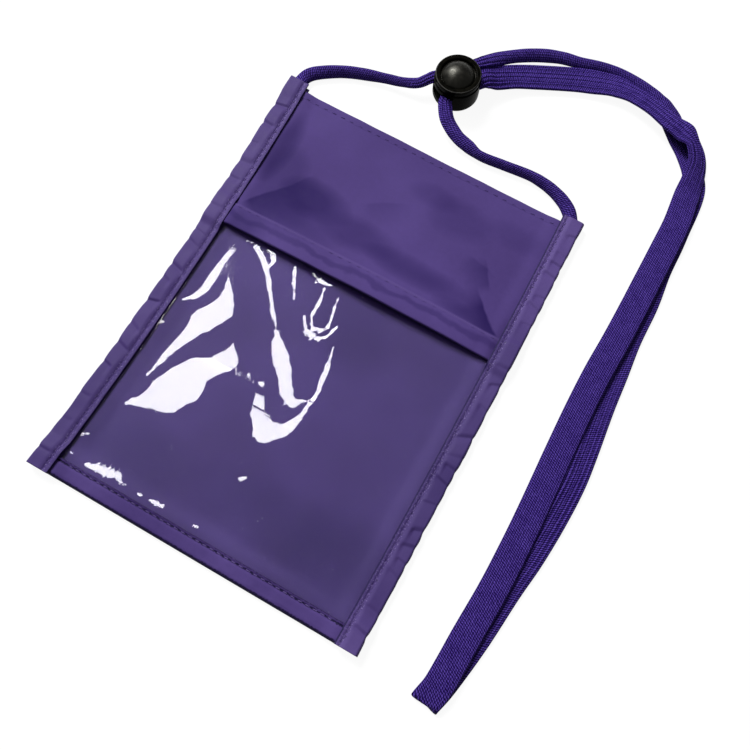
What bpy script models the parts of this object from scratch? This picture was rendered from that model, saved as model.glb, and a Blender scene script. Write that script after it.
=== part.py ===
"""Neck wallet: a sewn nylon wallet with a clear window, a flat neck lace and a sliding cord lock.

Metres, +Z up. The wallet lies face up: X runs across it, Y from its bottom edge to its header.
The origin is under the middle of the wallet, on the surface that it lies on.
"""

import math

import bmesh
import bpy
from mathutils import Matrix, Vector

# Sewn body
WALLET_WIDTH = 0.12065
WALLET_LENGTH = 0.1651
SWAY = 0.0016
CLOTH = 0.0003
PLY_GAP = 0.0003
RAMP = 0.006
SWAY_STEP = 0.014

# Header, from the wallet's top edge down
HEADER_SETBACK = 0.0026
HEADER_DEPTH = 0.0595
HEADER_HEM = 0.0087
TOP_HEM = 0.0030
HEM_STEP = 0.0005
BACK_SETBACK = 0.0034

# Window, bindings and bottom hem
WINDOW_TUCK = 0.012
BINDING_WIDTH = 0.0080
BOTTOM_HEM = 0.0065
FOLD_DEPTH = 0.0016
FOLD_STEPS = 6

# Cord lock: a cup with a retaining rim, a domed plunger and a spring under it
LOCK_X = -0.0055
LOCK_BEYOND_TOP = 0.0272
LOCK_AZIMUTH = math.radians(53.0)
LOCK_RADIUS = 0.0087
LOCK_WALL = 0.0012
LOCK_FLOOR = 0.0014
LOCK_FOOT_ROUND = 0.0018
RIM_TOP = 0.0116
RIM_HEIGHT = 0.0024
RIM_SETBACK = 0.00025
RIM_GROOVE = 0.0004
RIM_ROUND = 0.0006
RIM_LIP = 0.0012
RIM_OPENING = 0.0065
PRESS_TRAVEL = 0.0018
SLOT_WIDTH = 0.0124
SLOT_HEIGHT = 0.0038
SLOT_FLOOR = 0.0036
SLOT_ROUND = 0.0012
RUNNING_GAP = 0.0003
HEAD_GAP = 0.0004
PLUNGER_WEB = 0.0010
PLUNGER_EDGE = 0.0004
DOME_BASE = 0.0108
DOME_HEIGHT = 0.0030
CUT_OVERRUN = 0.001
TURN_STEPS = 48
ARC_STEPS = 6

# Spring
SPRING_WIRE = 0.0004
SPRING_RADIUS = 0.0046
SPRING_TURNS = 2
SPRING_TURN_POINTS = 24
SPRING_SIDES = 8

# Lace
LACE_WIDTH = 0.010
LACE_THICKNESS = 0.0014
LACE_END_GAP = 0.0006
LANE_OFFSET = 0.0040
SLIDE_TRAVEL = 0.020
LANE_MARGIN = 0.0008
LACE_STEPS = 2
LACE_CORNER_SHARE = 0.8
LACE_EDGE_SHARE = 0.4
STEEP_SHARE = 0.3

# Shares of the lace's width and thickness: laid flat, folded along, gathered, and in the lock
FLAT_SHARES = (1.0, 1.0)
SLACK_SHARES = (0.9, 1.0)
FOLDED_SHARES = (0.42, 2.0)
GATHERED_SHARES = (0.75, 1.2)
LANE_SHARES = (0.38, 1.0)

# The free stretches of the lace, by hand, from binding to lock and once round the loop.
# Their points count from the middle of the wallet's top edge.
LEFT_ROUTE = [
    ((-0.0572, 0.0030, 0.0018), FOLDED_SHARES),
    ((-0.0558, 0.0065, 0.0017), FOLDED_SHARES),
    ((-0.0516, 0.0101, 0.0017), FOLDED_SHARES),
    ((-0.0452, 0.0135, 0.0017), FOLDED_SHARES),
    ((-0.0384, 0.0158, 0.0018), FOLDED_SHARES),
    ((-0.0298, 0.0177, 0.0024), FOLDED_SHARES),
    ((-0.0238, 0.0183, 0.0034), FOLDED_SHARES),
    ((-0.0186, 0.0193, 0.0048), FOLDED_SHARES),
]
RIGHT_ROUTE = [
    ((0.0555, 0.0025, 0.0018), FOLDED_SHARES),
    ((0.0506, 0.0055, 0.0017), FOLDED_SHARES),
    ((0.0442, 0.0080, 0.0017), FOLDED_SHARES),
    ((0.0344, 0.0097, 0.0018), FOLDED_SHARES),
    ((0.0264, 0.0090, 0.0020), FOLDED_SHARES),
    ((0.0187, 0.0084, 0.0023), FOLDED_SHARES),
    ((0.0120, 0.0082, 0.0028), FOLDED_SHARES),
    ((0.0045, 0.0089, 0.0036), FOLDED_SHARES),
    ((-0.0030, 0.0115, 0.0050), FOLDED_SHARES),
]
LOOP_ROUTE = [
    ((0.0225, 0.0522, 0.0040), SLACK_SHARES),
    ((0.0333, 0.0545, 0.0014), SLACK_SHARES),
    ((0.0420, 0.0563, 0.0010), SLACK_SHARES),
    ((0.0500, 0.0567, 0.0017), SLACK_SHARES),
    ((0.0565, 0.0565, 0.0027), SLACK_SHARES),
    ((0.0640, 0.0548, 0.0029), SLACK_SHARES),
    ((0.0715, 0.0522, 0.0029), SLACK_SHARES),
    ((0.0774, 0.0493, 0.0029), GATHERED_SHARES),
    ((0.0820, 0.0455, 0.0029), GATHERED_SHARES),
    ((0.0850, 0.0400, 0.0028), GATHERED_SHARES),
    ((0.0870, 0.0325, 0.0027), GATHERED_SHARES),
    ((0.0880, 0.0213, 0.0026), FLAT_SHARES),
    ((0.0882, 0.0056, 0.0026), FLAT_SHARES),
    ((0.0880, -0.0088, 0.0026), FLAT_SHARES),
    ((0.0879, -0.0223, 0.0026), FLAT_SHARES),
    ((0.0875, -0.0362, 0.0026), FLAT_SHARES),
    ((0.0870, -0.0482, 0.0026), FLAT_SHARES),
    ((0.0867, -0.0628, 0.0026), FLAT_SHARES),
    ((0.0868, -0.0809, 0.0026), FLAT_SHARES),
    ((0.0871, -0.0965, 0.0026), FLAT_SHARES),
    ((0.0874, -0.1125, 0.0026), FLAT_SHARES),
    ((0.0874, -0.1283, 0.0026), FLAT_SHARES),
    ((0.0870, -0.1449, 0.0026), FLAT_SHARES),
    ((0.0862, -0.1555, 0.0026), FLAT_SHARES),
    ((0.0856, -0.1635, 0.0026), FLAT_SHARES),
    ((0.0854, -0.1675, 0.0026), FLAT_SHARES),
    ((0.0853, -0.1687, 0.0023), FLAT_SHARES),
    ((0.0853, -0.1690, 0.00175), FLAT_SHARES),
    ((0.0853, -0.1687, 0.0012), FLAT_SHARES),
    ((0.0855, -0.1675, 0.0009), FLAT_SHARES),
    ((0.0861, -0.1639, 0.0009), FLAT_SHARES),
    ((0.0878, -0.1539, 0.0009), FLAT_SHARES),
    ((0.0905, -0.1405, 0.0009), FLAT_SHARES),
    ((0.0930, -0.1265, 0.0009), FLAT_SHARES),
    ((0.0946, -0.1139, 0.0009), FLAT_SHARES),
    ((0.0955, -0.1005, 0.0009), FLAT_SHARES),
    ((0.0959, -0.0855, 0.0009), FLAT_SHARES),
    ((0.0954, -0.0715, 0.0009), FLAT_SHARES),
    ((0.0937, -0.0583, 0.0009), FLAT_SHARES),
    ((0.0920, -0.0435, 0.0009), FLAT_SHARES),
    ((0.0912, -0.0315, 0.0009), FLAT_SHARES),
    ((0.0908, -0.0161, 0.0009), FLAT_SHARES),
    ((0.0902, -0.0025, 0.0009), FLAT_SHARES),
    ((0.0896, 0.0095, 0.0009), FLAT_SHARES),
    ((0.0885, 0.0211, 0.0009), FLAT_SHARES),
    ((0.0868, 0.0319, 0.0009), GATHERED_SHARES),
    ((0.0842, 0.0405, 0.0009), GATHERED_SHARES),
    ((0.0805, 0.0475, 0.0009), GATHERED_SHARES),
    ((0.0755, 0.0540, 0.0009), GATHERED_SHARES),
    ((0.0700, 0.0590, 0.0009), GATHERED_SHARES),
    ((0.0630, 0.0625, 0.0011), GATHERED_SHARES),
    ((0.0545, 0.0648, 0.0017), FOLDED_SHARES),
    ((0.0433, 0.0649, 0.0017), FOLDED_SHARES),
    ((0.0340, 0.0632, 0.0018), FOLDED_SHARES),
    ((0.0249, 0.0613, 0.0022), FOLDED_SHARES),
    ((0.0165, 0.0587, 0.0042), FOLDED_SHARES),
]

# Sizes that follow from those above
PLY = CLOTH + PLY_GAP
HALF_WIDTH = WALLET_WIDTH / 2
HALF_LENGTH = WALLET_LENGTH / 2
BINDING_EDGE = HALF_WIDTH - BINDING_WIDTH
SEAM_EDGE = HALF_WIDTH - FOLD_DEPTH
BOTTOM_SEAM = -HALF_LENGTH + FOLD_DEPTH
HEM_EDGE = -HALF_LENGTH + BOTTOM_HEM
HEADER_TOP = HALF_LENGTH - HEADER_SETBACK
HEADER_EDGE = HEADER_TOP - HEADER_DEPTH
WINDOW_TOP = HEADER_EDGE + WINDOW_TUCK
LOCK_Y = HALF_LENGTH + LOCK_BEYOND_TOP
LACE_MIDDLE = SLOT_FLOOR + SLOT_HEIGHT - RUNNING_GAP - LACE_THICKNESS / 2


def material(name, colour, roughness, metallic=0.0, alpha=1.0):
    """A Principled material of one colour."""
    made = bpy.data.materials.new(name)
    made.use_nodes = True
    shader = made.node_tree.nodes["Principled BSDF"]
    shader.inputs["Base Color"].default_value = (*colour, 1.0)
    shader.inputs["Roughness"].default_value = roughness
    shader.inputs["Metallic"].default_value = metallic
    shader.inputs["Alpha"].default_value = alpha
    return made


def add_object(name, bm, finish, smooth=False):
    """Turns a closed bmesh into a named object with its faces pointing out."""
    bmesh.ops.recalc_face_normals(bm, faces=bm.faces)
    mesh = bpy.data.meshes.new(name)
    bm.to_mesh(mesh)
    bm.free()
    if smooth:
        mesh.shade_smooth()
        mesh.set_sharp_from_angle(angle=math.radians(35.0))
    mesh.materials.append(finish)
    made = bpy.data.objects.new(name, mesh)
    bpy.context.scene.collection.objects.link(made)
    return made


def ramp(value, start, end):
    """Goes from 0 at start to 1 at end in a straight line."""
    return min(max((value - start) / (end - start), 0.0), 1.0)


def sway(y):
    """How far the wallet's middle line lies to the side at y."""
    return SWAY * (0.5 - (y / HALF_LENGTH) ** 2)


def over_binding(x):
    """1 where a ply lies on the binding's lower leg, 0 in the middle of the wallet."""
    return ramp(abs(x), BINDING_EDGE - RAMP, BINDING_EDGE - PLY)


def over_hem(y):
    """1 where a ply lies on the bottom hem's lower leg, 0 above it."""
    return 1.0 - ramp(y, HEM_EDGE + PLY, HEM_EDGE + RAMP)


def ply_bottom(layer, x, y):
    """Underside of a ply, counted from 0 at the back."""
    return PLY * (layer + over_binding(x) + over_hem(y))


def spread(low, high, step):
    """Even places from low to high, no further apart than about one step."""
    count = max(1, round((high - low) / step))
    return [low + (high - low) * i / count for i in range(count + 1)]


def across():
    """Places across the wallet where a ply starts to rise, is up, and ends."""
    inner = spread(-(BINDING_EDGE - RAMP), BINDING_EDGE - RAMP, WALLET_WIDTH / 4)
    rise = BINDING_EDGE - PLY
    return [-SEAM_EDGE, -rise, *inner, rise, SEAM_EDGE]


def ply_sheet(name, layer, ys, finish, fold=None):
    """A closed sheet of cloth; fold(y) gives the extra thickness of its hems."""
    bm = bmesh.new()
    rows = []
    for y in ys:
        row = []
        for x in across():
            low = ply_bottom(layer, x, y)
            high = low + CLOTH + (fold(y) if fold else 0.0)
            row.append([bm.verts.new((x + sway(y), y, z)) for z in (low, high)])
        rows.append(row)
    last_row, last_column = len(rows) - 1, len(rows[0]) - 1
    for i in range(last_row):
        for j in range(last_column):
            a, b, c, d = rows[i][j], rows[i][j + 1], rows[i + 1][j + 1], rows[i + 1][j]
            bm.faces.new([v[1] for v in (a, b, c, d)])
            bm.faces.new([v[0] for v in (d, c, b, a)])
    for j in range(last_column):
        for row in (rows[0], rows[last_row]):
            bm.faces.new([row[j][0], row[j + 1][0], row[j + 1][1], row[j][1]])
    for i in range(last_row):
        for j in (0, last_column):
            bm.faces.new([rows[i][j][0], rows[i + 1][j][0], rows[i + 1][j][1], rows[i][j][1]])
    return add_object(name, bm, finish)


def loft(name, rings, finish, smooth=False):
    """A closed solid through rings of points, with a face across each end."""
    bm = bmesh.new()
    made = [[bm.verts.new(point) for point in ring] for ring in rings]
    size = len(made[0])
    for a, b in zip(made, made[1:]):
        for i in range(size):
            j = (i + 1) % size
            bm.faces.new([a[i], a[j], b[j], b[i]])
    bm.faces.new(made[0])
    bm.faces.new(made[-1])
    return add_object(name, bm, finish, smooth)


def fold_profile(leg, low, top):
    """A tape folded in half, as (reach, height) points: its bend at reach 0, its legs out to leg."""
    middle = (low + top) / 2
    half = (top - low) / 2
    outer, inner = [], []
    for i in range(FOLD_STEPS + 1):
        angle = math.pi * (i / FOLD_STEPS - 0.5)
        outer.append((FOLD_DEPTH * (1 - math.cos(angle)), middle + half * math.sin(angle)))
        reach = FOLD_DEPTH - (FOLD_DEPTH - CLOTH) * math.cos(angle)
        inner.append((reach, middle + (half - CLOTH) * math.sin(angle)))
    return [(leg, low), *outer, (leg, top), (leg, top - CLOTH), *inner[::-1], (leg, low + CLOTH)]


def header_fold(y):
    """Extra thickness of the header's hems, which are turned to the front."""
    lower = 1.0 - ramp(y, HEADER_EDGE + HEADER_HEM - HEM_STEP, HEADER_EDGE + HEADER_HEM)
    upper = ramp(y, HEADER_TOP - TOP_HEM, HEADER_TOP - TOP_HEM + HEM_STEP)
    return CLOTH * (lower + upper)


def binding_top(y):
    """Top of the binding: it lies on the hem, on the window and on the header's hems."""
    window = 4 * PLY + CLOTH
    hem = 6 * PLY + CLOTH
    header = 4 * PLY + 3 * CLOTH + PLY_GAP
    on_hem = 1.0 - ramp(y, HEM_EDGE + PLY, HEM_EDGE + RAMP)
    on_header = ramp(y, HEADER_EDGE - RAMP, HEADER_EDGE - PLY)
    return window + (hem - window) * on_hem + (header - window) * on_header


def make_binding(name, side, finish):
    """Tape folded round one edge of all the plies; side is -1 on the left and 1 on the right."""
    ys = [
        -HALF_LENGTH,
        HEM_EDGE + PLY,
        *spread(HEM_EDGE + RAMP, HEADER_EDGE - RAMP, SWAY_STEP),
        *spread(HEADER_EDGE - PLY, HALF_LENGTH, SWAY_STEP),
    ]
    rings = []
    for y in ys:
        profile = fold_profile(BINDING_WIDTH, 0.0, binding_top(y))
        rings.append([(side * (HALF_WIDTH - reach) + sway(y), y, z) for reach, z in profile])
    return loft(name, rings, finish)


def make_bottom_hem(finish):
    """The fold along the bottom edge; its ends are caught inside the two bindings."""
    rings = []
    for x in across():
        low = PLY * over_binding(x)
        profile = fold_profile(BOTTOM_HEM, low, low + 4 * PLY + CLOTH)
        rings.append(
            [(x + sway(reach - HALF_LENGTH), reach - HALF_LENGTH, z) for reach, z in profile]
        )
    return loft("bottom_hem", rings, finish)


def make_panels(nylon, vinyl):
    """The plies between the bindings, from the back to the front."""
    foot = [BOTTOM_SEAM, HEM_EDGE + PLY]
    back_ys = [*foot, *spread(HEM_EDGE + RAMP, HALF_LENGTH - BACK_SETBACK, SWAY_STEP)]
    front_ys = [*foot, *spread(HEM_EDGE + RAMP, HEADER_TOP, SWAY_STEP)]
    window_ys = [*foot, *spread(HEM_EDGE + RAMP, WINDOW_TOP, SWAY_STEP)]
    lower_hem = HEADER_EDGE + HEADER_HEM
    top_hem = HEADER_TOP - TOP_HEM
    header_ys = [
        HEADER_EDGE,
        lower_hem - HEM_STEP,
        *spread(lower_hem, top_hem, SWAY_STEP),
        top_hem + HEM_STEP,
        HEADER_TOP,
    ]
    ply_sheet("back_panel", 0, back_ys, nylon)
    ply_sheet("front_panel", 1, front_ys, nylon)
    ply_sheet("window_sheet", 2, window_ys, vinyl)
    ply_sheet("header_panel", 3, header_ys, nylon, header_fold)


def curve_point(points, share):
    """A point on the centripetal curve between the two middle ones of four points."""
    knots = [0.0]
    for a, b in zip(points, points[1:]):
        knots.append(knots[-1] + math.sqrt((b - a).length))
    place = knots[1] + (knots[2] - knots[1]) * share

    def between(a, b, first, last):
        return a.lerp(b, (place - knots[first]) / (knots[last] - knots[first]))

    a, b, c = (between(points[k], points[k + 1], k, k + 1) for k in range(3))
    return between(between(a, b, 0, 2), between(b, c, 1, 3), 1, 2)


def smooth_route(rows):
    """Points and shares along one smooth curve through the rows of a route."""
    points = [Vector(point) for point, shares in rows]
    forms = [Vector(shares) for point, shares in rows]
    ends = [2 * points[0] - points[1], *points, 2 * points[-1] - points[-2]]
    made = []
    for i in range(len(points) - 1):
        for step in range(LACE_STEPS):
            share = step / LACE_STEPS
            made.append((curve_point(ends[i : i + 4], share), forms[i].lerp(forms[i + 1], share)))
    made.append((points[-1], forms[-1]))
    return made


def lace_section(width, thickness):
    """A flat lace cut across, with round edges, as (side, up) points."""
    side, up = width / 2, thickness / 2
    corner = side - up * LACE_CORNER_SHARE
    edge = up * LACE_EDGE_SHARE
    right = [(corner, -up), (side, -edge), (side, edge), (corner, up)]
    return right + [(-s, u) for s, u in reversed(right)]


def make_lace(name, rows, finish):
    """One stretch of the flat lace, swept along its route."""
    route = smooth_route(rows)
    rings = []
    across_lace = None
    for i, (point, share) in enumerate(route):
        before = route[max(i - 1, 0)][0]
        after = route[min(i + 1, len(route) - 1)][0]
        along = (after - before).normalized()
        level = Vector((0.0, 0.0, 1.0)).cross(along)
        if across_lace is None:
            across_lace = level.normalized()
        if level.length > STEEP_SHARE:
            across_lace = level.normalized() * (1 if level.dot(across_lace) > 0 else -1)
        across_lace = (across_lace - along * across_lace.dot(along)).normalized()
        up = along.cross(across_lace)
        section = lace_section(LACE_WIDTH * share[0], LACE_THICKNESS * share[1])
        rings.append([point + across_lace * s + up * u for s, u in section])
    return loft(name, rings, finish, smooth=True)


def lane_point(distance, offset):
    """A point in the cord lock's slot, along it from the lock's axis and to one side."""
    along = Vector((math.cos(LOCK_AZIMUTH), math.sin(LOCK_AZIMUTH), 0.0))
    beside = Vector((-along.y, along.x, 0.0))
    return Vector((LOCK_X, LOCK_Y, LACE_MIDDLE)) + along * distance + beside * offset


def lane(start, end, offset):
    """A straight stretch of lace through the lock, as rows of a route."""
    return [(lane_point(distance, offset), LANE_SHARES) for distance in spread(start, end, RAMP)]


def binding_mouth(side):
    """Rows of a route that start inside the top end of a binding."""
    x = side * (BINDING_EDGE + FOLDED_SHARES[0] * LACE_WIDTH / 2 + HEADER_SETBACK / 2)
    z = binding_top(HALF_LENGTH) / 2
    start = HEADER_TOP + LACE_END_GAP
    return [
        ((x + sway(HALF_LENGTH), start, z), FOLDED_SHARES),
        ((x + sway(HALF_LENGTH), HALF_LENGTH, z), FOLDED_SHARES),
    ]


def from_top_edge(route):
    """A route's rows with their points counted from the origin."""
    return [(Vector(point) + Vector((0.0, HALF_LENGTH, 0.0)), shares) for point, shares in route]


def make_laces(finish):
    """The lace's two strands and its doubled loop, which meet inside the lock."""
    inside = PLY_GAP / 2
    entry = LOCK_RADIUS + LANE_MARGIN
    clear = entry + SLIDE_TRAVEL
    left_lane = lane(-entry, -inside, LANE_OFFSET)
    right_lane = lane(-entry, -inside, -LANE_OFFSET)
    out_lane = lane(inside, clear, -LANE_OFFSET)
    back_lane = lane(inside, clear, LANE_OFFSET)[::-1]
    left_rows = [*binding_mouth(-1), *from_top_edge(LEFT_ROUTE), *left_lane]
    right_rows = [*binding_mouth(1), *from_top_edge(RIGHT_ROUTE), *right_lane]
    loop_rows = [*out_lane, *from_top_edge(LOOP_ROUTE), *back_lane]
    make_lace("lace_left", left_rows, finish)
    make_lace("lace_right", right_rows, finish)
    make_lace("lace_loop", loop_rows, finish)


def arc(centre, radius, start, end):
    """Points of a quarter turn in a turned profile, by angle in degrees."""
    points = []
    for i in range(ARC_STEPS + 1):
        angle = math.radians(start + (end - start) * i / ARC_STEPS)
        points.append((centre[0] + radius * math.cos(angle), centre[1] + radius * math.sin(angle)))
    return points


def turned(name, profile, finish):
    """A solid of revolution about Z from (radius, height) points that start and end on the axis."""
    bm = bmesh.new()
    verts = [bm.verts.new((radius, 0.0, height)) for radius, height in profile]
    edges = [bm.edges.new(pair) for pair in zip(verts, verts[1:])]
    bmesh.ops.spin(
        bm,
        geom=verts + edges,
        cent=(0, 0, 0),
        axis=(0, 0, 1),
        angle=math.tau,
        steps=TURN_STEPS,
        use_duplicate=False,
    )
    bmesh.ops.remove_doubles(bm, verts=bm.verts, dist=RUNNING_GAP / 100)
    return add_object(name, bm, finish, smooth=True)


def slot_cutter(name, floor, frame, finish):
    """A hidden bar with round edges that cuts the lace's slot along the lock's X axis."""
    half = SLOT_WIDTH / 2 - SLOT_ROUND
    low, high = floor + SLOT_ROUND, floor + SLOT_HEIGHT - SLOT_ROUND
    corners = [(half, low), (half, high), (-half, high), (-half, low)]
    section = []
    for k, centre in enumerate(corners):
        section += arc(centre, SLOT_ROUND, 90 * k - 90, 90 * k)
    reach = LOCK_RADIUS + CUT_OVERRUN
    cutter = loft(name, [[(x, y, z) for y, z in section] for x in (-reach, reach)], finish)
    cutter.parent = frame
    cutter.hide_render = True
    cutter.display_type = "WIRE"
    return cutter


def cut(piece, cutter):
    """Takes the cutter out of the piece with an exact Boolean."""
    step = piece.modifiers.new("slot", "BOOLEAN")
    step.operation = "DIFFERENCE"
    step.solver = "EXACT"
    step.object = cutter


def make_lock_body(frame, finish):
    """The cup: rounded foot, wall, groove under the rim, and the lip that holds the plunger in."""
    rim = LOCK_RADIUS - RIM_SETBACK
    rim_low = RIM_TOP - RIM_HEIGHT
    cavity = LOCK_RADIUS - LOCK_WALL
    lip_low = RIM_TOP - RIM_LIP
    foot = LOCK_RADIUS - LOCK_FOOT_ROUND
    profile = [
        (0.0, 0.0),
        *arc((foot, LOCK_FOOT_ROUND), LOCK_FOOT_ROUND, -90, 0),
        (LOCK_RADIUS, rim_low - RIM_GROOVE),
        (rim - RIM_GROOVE, rim_low - RIM_GROOVE / 2),
        (rim - RIM_GROOVE, rim_low),
        *arc((rim - RIM_ROUND, RIM_TOP - RIM_ROUND), RIM_ROUND, 0, 90),
        (RIM_OPENING + RIM_GROOVE, RIM_TOP),
        (RIM_OPENING, RIM_TOP - RIM_GROOVE),
        (RIM_OPENING, lip_low),
        (cavity, lip_low),
        (cavity, LOCK_FLOOR),
        (0.0, LOCK_FLOOR),
    ]
    body = turned("lock_body", profile, finish)
    body.parent = frame
    cut(body, slot_cutter("body_slot_cutter", SLOT_FLOOR, frame, finish))


def make_lock_button(frame, finish):
    """The plunger: a drum under the rim's lip, a neck through it and a dome on top."""
    drum = LOCK_RADIUS - LOCK_WALL - RUNNING_GAP
    head = RIM_OPENING - HEAD_GAP
    slot_floor = SLOT_FLOOR + PRESS_TRAVEL
    bottom = slot_floor - PLUNGER_WEB
    shoulder = RIM_TOP - RIM_LIP - RUNNING_GAP
    ball = (head**2 + DOME_HEIGHT**2) / (2 * DOME_HEIGHT)
    centre = DOME_BASE + DOME_HEIGHT - ball
    reach = math.degrees(math.asin(head / ball))
    profile = [
        (0.0, bottom),
        (drum - PLUNGER_EDGE, bottom),
        (drum, bottom + PLUNGER_EDGE),
        (drum, shoulder),
        (head, shoulder),
        *arc((0.0, centre), ball, 90 - reach, 90)[:-1],
        (0.0, DOME_BASE + DOME_HEIGHT),
    ]
    button = turned("lock_button", profile, finish)
    button.parent = frame
    cut(button, slot_cutter("button_slot_cutter", slot_floor, frame, finish))


def make_lock_spring(frame, finish):
    """A short compression spring between the cup's floor and the plunger."""
    low = LOCK_FLOOR + RUNNING_GAP + SPRING_WIRE / 2
    high = SLOT_FLOOR + PRESS_TRAVEL - PLUNGER_WEB - RUNNING_GAP - SPRING_WIRE / 2
    count = SPRING_TURNS * SPRING_TURN_POINTS
    points, rings = [], []
    for i in range(count + 1):
        angle = math.tau * i / SPRING_TURN_POINTS
        outward = Vector((math.cos(angle), math.sin(angle), 0.0))
        point = outward * SPRING_RADIUS + Vector((0.0, 0.0, low + (high - low) * i / count))
        points.append(point)
        ring = []
        for k in range(SPRING_SIDES):
            turn = math.tau * k / SPRING_SIDES
            up = Vector((0.0, 0.0, math.sin(turn)))
            ring.append(point + (outward * math.cos(turn) + up) * SPRING_WIRE / 2)
        rings.append(ring)
    spring = loft("lock_spring", rings, finish, smooth=True)
    spring.parent = frame
    gap = min(
        (a - b).length - SPRING_WIRE
        for i, a in enumerate(points)
        for b in points[i + SPRING_TURN_POINTS // 2 :]
    )
    print(f"lock_spring: least gap to itself {gap * 1000:.2f} mm")


def make_lock(plastic, steel):
    """The cord lock, on an empty at its axis that is turned along the lace."""
    frame = bpy.data.objects.new("lock_frame", None)
    bpy.context.scene.collection.objects.link(frame)
    frame.matrix_world = Matrix.Translation((LOCK_X, LOCK_Y, 0.0)) @ Matrix.Rotation(LOCK_AZIMUTH, 4, "Z")
    make_lock_body(frame, plastic)
    make_lock_button(frame, plastic)
    make_lock_spring(frame, steel)


def main():
    for old in list(bpy.data.objects):
        bpy.data.objects.remove(old)
    nylon = material("purple_nylon", (0.095, 0.062, 0.205), 0.6)
    vinyl = material("clear_vinyl", (0.85, 0.85, 0.88), 0.08, alpha=0.25)
    lace = material("purple_lace", (0.068, 0.028, 0.260), 0.75)
    plastic = material("black_plastic", (0.006, 0.006, 0.006), 0.22)
    steel = material("spring_steel", (0.55, 0.56, 0.58), 0.3, metallic=1.0)
    make_panels(nylon, vinyl)
    make_binding("left_binding", -1, nylon)
    make_binding("right_binding", 1, nylon)
    make_bottom_hem(nylon)
    make_laces(lace)
    make_lock(plastic, steel)


main()
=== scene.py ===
"""Looks of a neck wallet: sewn taffeta, clear film, stitching, a knitted lace and a glossy cord lock.

X runs across the wallet and Y up to its header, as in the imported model. Lengths are in metres, and
in mm in the tables whose names end in MM.
"""

import math

import bpy
import numpy as np
from mathutils import Matrix, Vector


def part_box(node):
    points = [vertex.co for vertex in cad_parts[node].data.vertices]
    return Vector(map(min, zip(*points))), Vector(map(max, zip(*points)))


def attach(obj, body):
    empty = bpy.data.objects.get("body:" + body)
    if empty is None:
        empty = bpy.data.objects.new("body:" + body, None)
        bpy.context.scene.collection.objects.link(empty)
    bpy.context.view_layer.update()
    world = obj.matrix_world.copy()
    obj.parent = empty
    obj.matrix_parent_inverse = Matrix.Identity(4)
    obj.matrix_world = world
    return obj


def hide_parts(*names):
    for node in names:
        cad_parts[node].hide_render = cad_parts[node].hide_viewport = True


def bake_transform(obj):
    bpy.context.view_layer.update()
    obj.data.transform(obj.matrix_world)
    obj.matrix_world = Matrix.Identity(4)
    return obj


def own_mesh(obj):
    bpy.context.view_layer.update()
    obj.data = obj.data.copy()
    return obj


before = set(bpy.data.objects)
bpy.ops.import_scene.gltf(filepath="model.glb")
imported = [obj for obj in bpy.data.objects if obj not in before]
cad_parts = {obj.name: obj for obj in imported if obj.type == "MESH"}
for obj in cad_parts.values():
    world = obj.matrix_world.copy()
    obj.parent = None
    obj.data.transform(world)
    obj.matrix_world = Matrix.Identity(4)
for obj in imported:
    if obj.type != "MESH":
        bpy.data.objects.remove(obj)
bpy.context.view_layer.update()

# Plies and folds
CLOTH = 0.00028
PLY = 0.0006
RISE = 0.006
PILLOW = 0.0006
PILLOW_WAVE = (0.45, 0.045, 3)
FOLD_DEPTH = 0.0016
FOLD_TURN = np.linspace(-math.pi / 2, math.pi / 2, 13)

# Sizes of the sewn body, most of them read from the frame
HALF_WIDTH = 0.060325
HALF_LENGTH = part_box("left_binding")[1].y
BINDING_WIDTH = 0.0080
BINDING_EDGE = HALF_WIDTH - BINDING_WIDTH
SEAM_X = HALF_WIDTH - FOLD_DEPTH
SEAM_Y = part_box("front_panel")[0].y
BACK_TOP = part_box("back_panel")[1].y
WINDOW_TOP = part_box("window_sheet")[1].y
HEM_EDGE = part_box("bottom_hem")[1].y
HEM_WIDTH = HEM_EDGE + HALF_LENGTH
HEADER_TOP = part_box("header_panel")[1].y
HEADER_DROP = 0.0004
HEADER_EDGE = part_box("header_panel")[0].y - HEADER_DROP
HEADER_HEM = 0.0087
TOP_HEM = 0.0030
HEADER_FOLD = HEADER_EDGE + HEADER_HEM
TOP_FOLD = HEADER_TOP - TOP_HEM

# How the sewn edges lie bowed and askew: (steady, bowed, slanted), and (steady, slanted)
SWAY = 0.0016
LEFT_EDGE = (0.0006, -0.00065, -0.00055)
RIGHT_EDGE = (0.0, 0.0009, -0.0004)
TOP_EDGE = (0.0003, -0.0010)
BOTTOM_EDGE = (0.0003, 0.00015)

# Relief of the cloths, with ripples as (height, length of a wave, seed)
WRINKLE = (0.00009, 0.012)
WRINKLE_REACH = 0.022
BACK_STEP = 0.002
FRONT_STEP = 0.0015
HEADER_STAND = 0.0027
HEADER_SLACK = 0.030
HEADER_CRUMPLE = (0.00022, 0.026, 21)
LOWER_HEM_THICK = 0.0006
TOP_HEM_THICK = 0.0003
LOWER_HEM_STEP = 0.0004
TOP_HEM_STEP = 0.0003
HEADER_ROUND = 0.0005
LOWER_HEM_PUFF = (0.00016, 0.012, 5)
TOP_HEM_PUFF = (0.00010, 0.008, 6)
GROOVE_WIDTH = 0.0004
GROOVE_DEPTH = 0.00026

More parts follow.
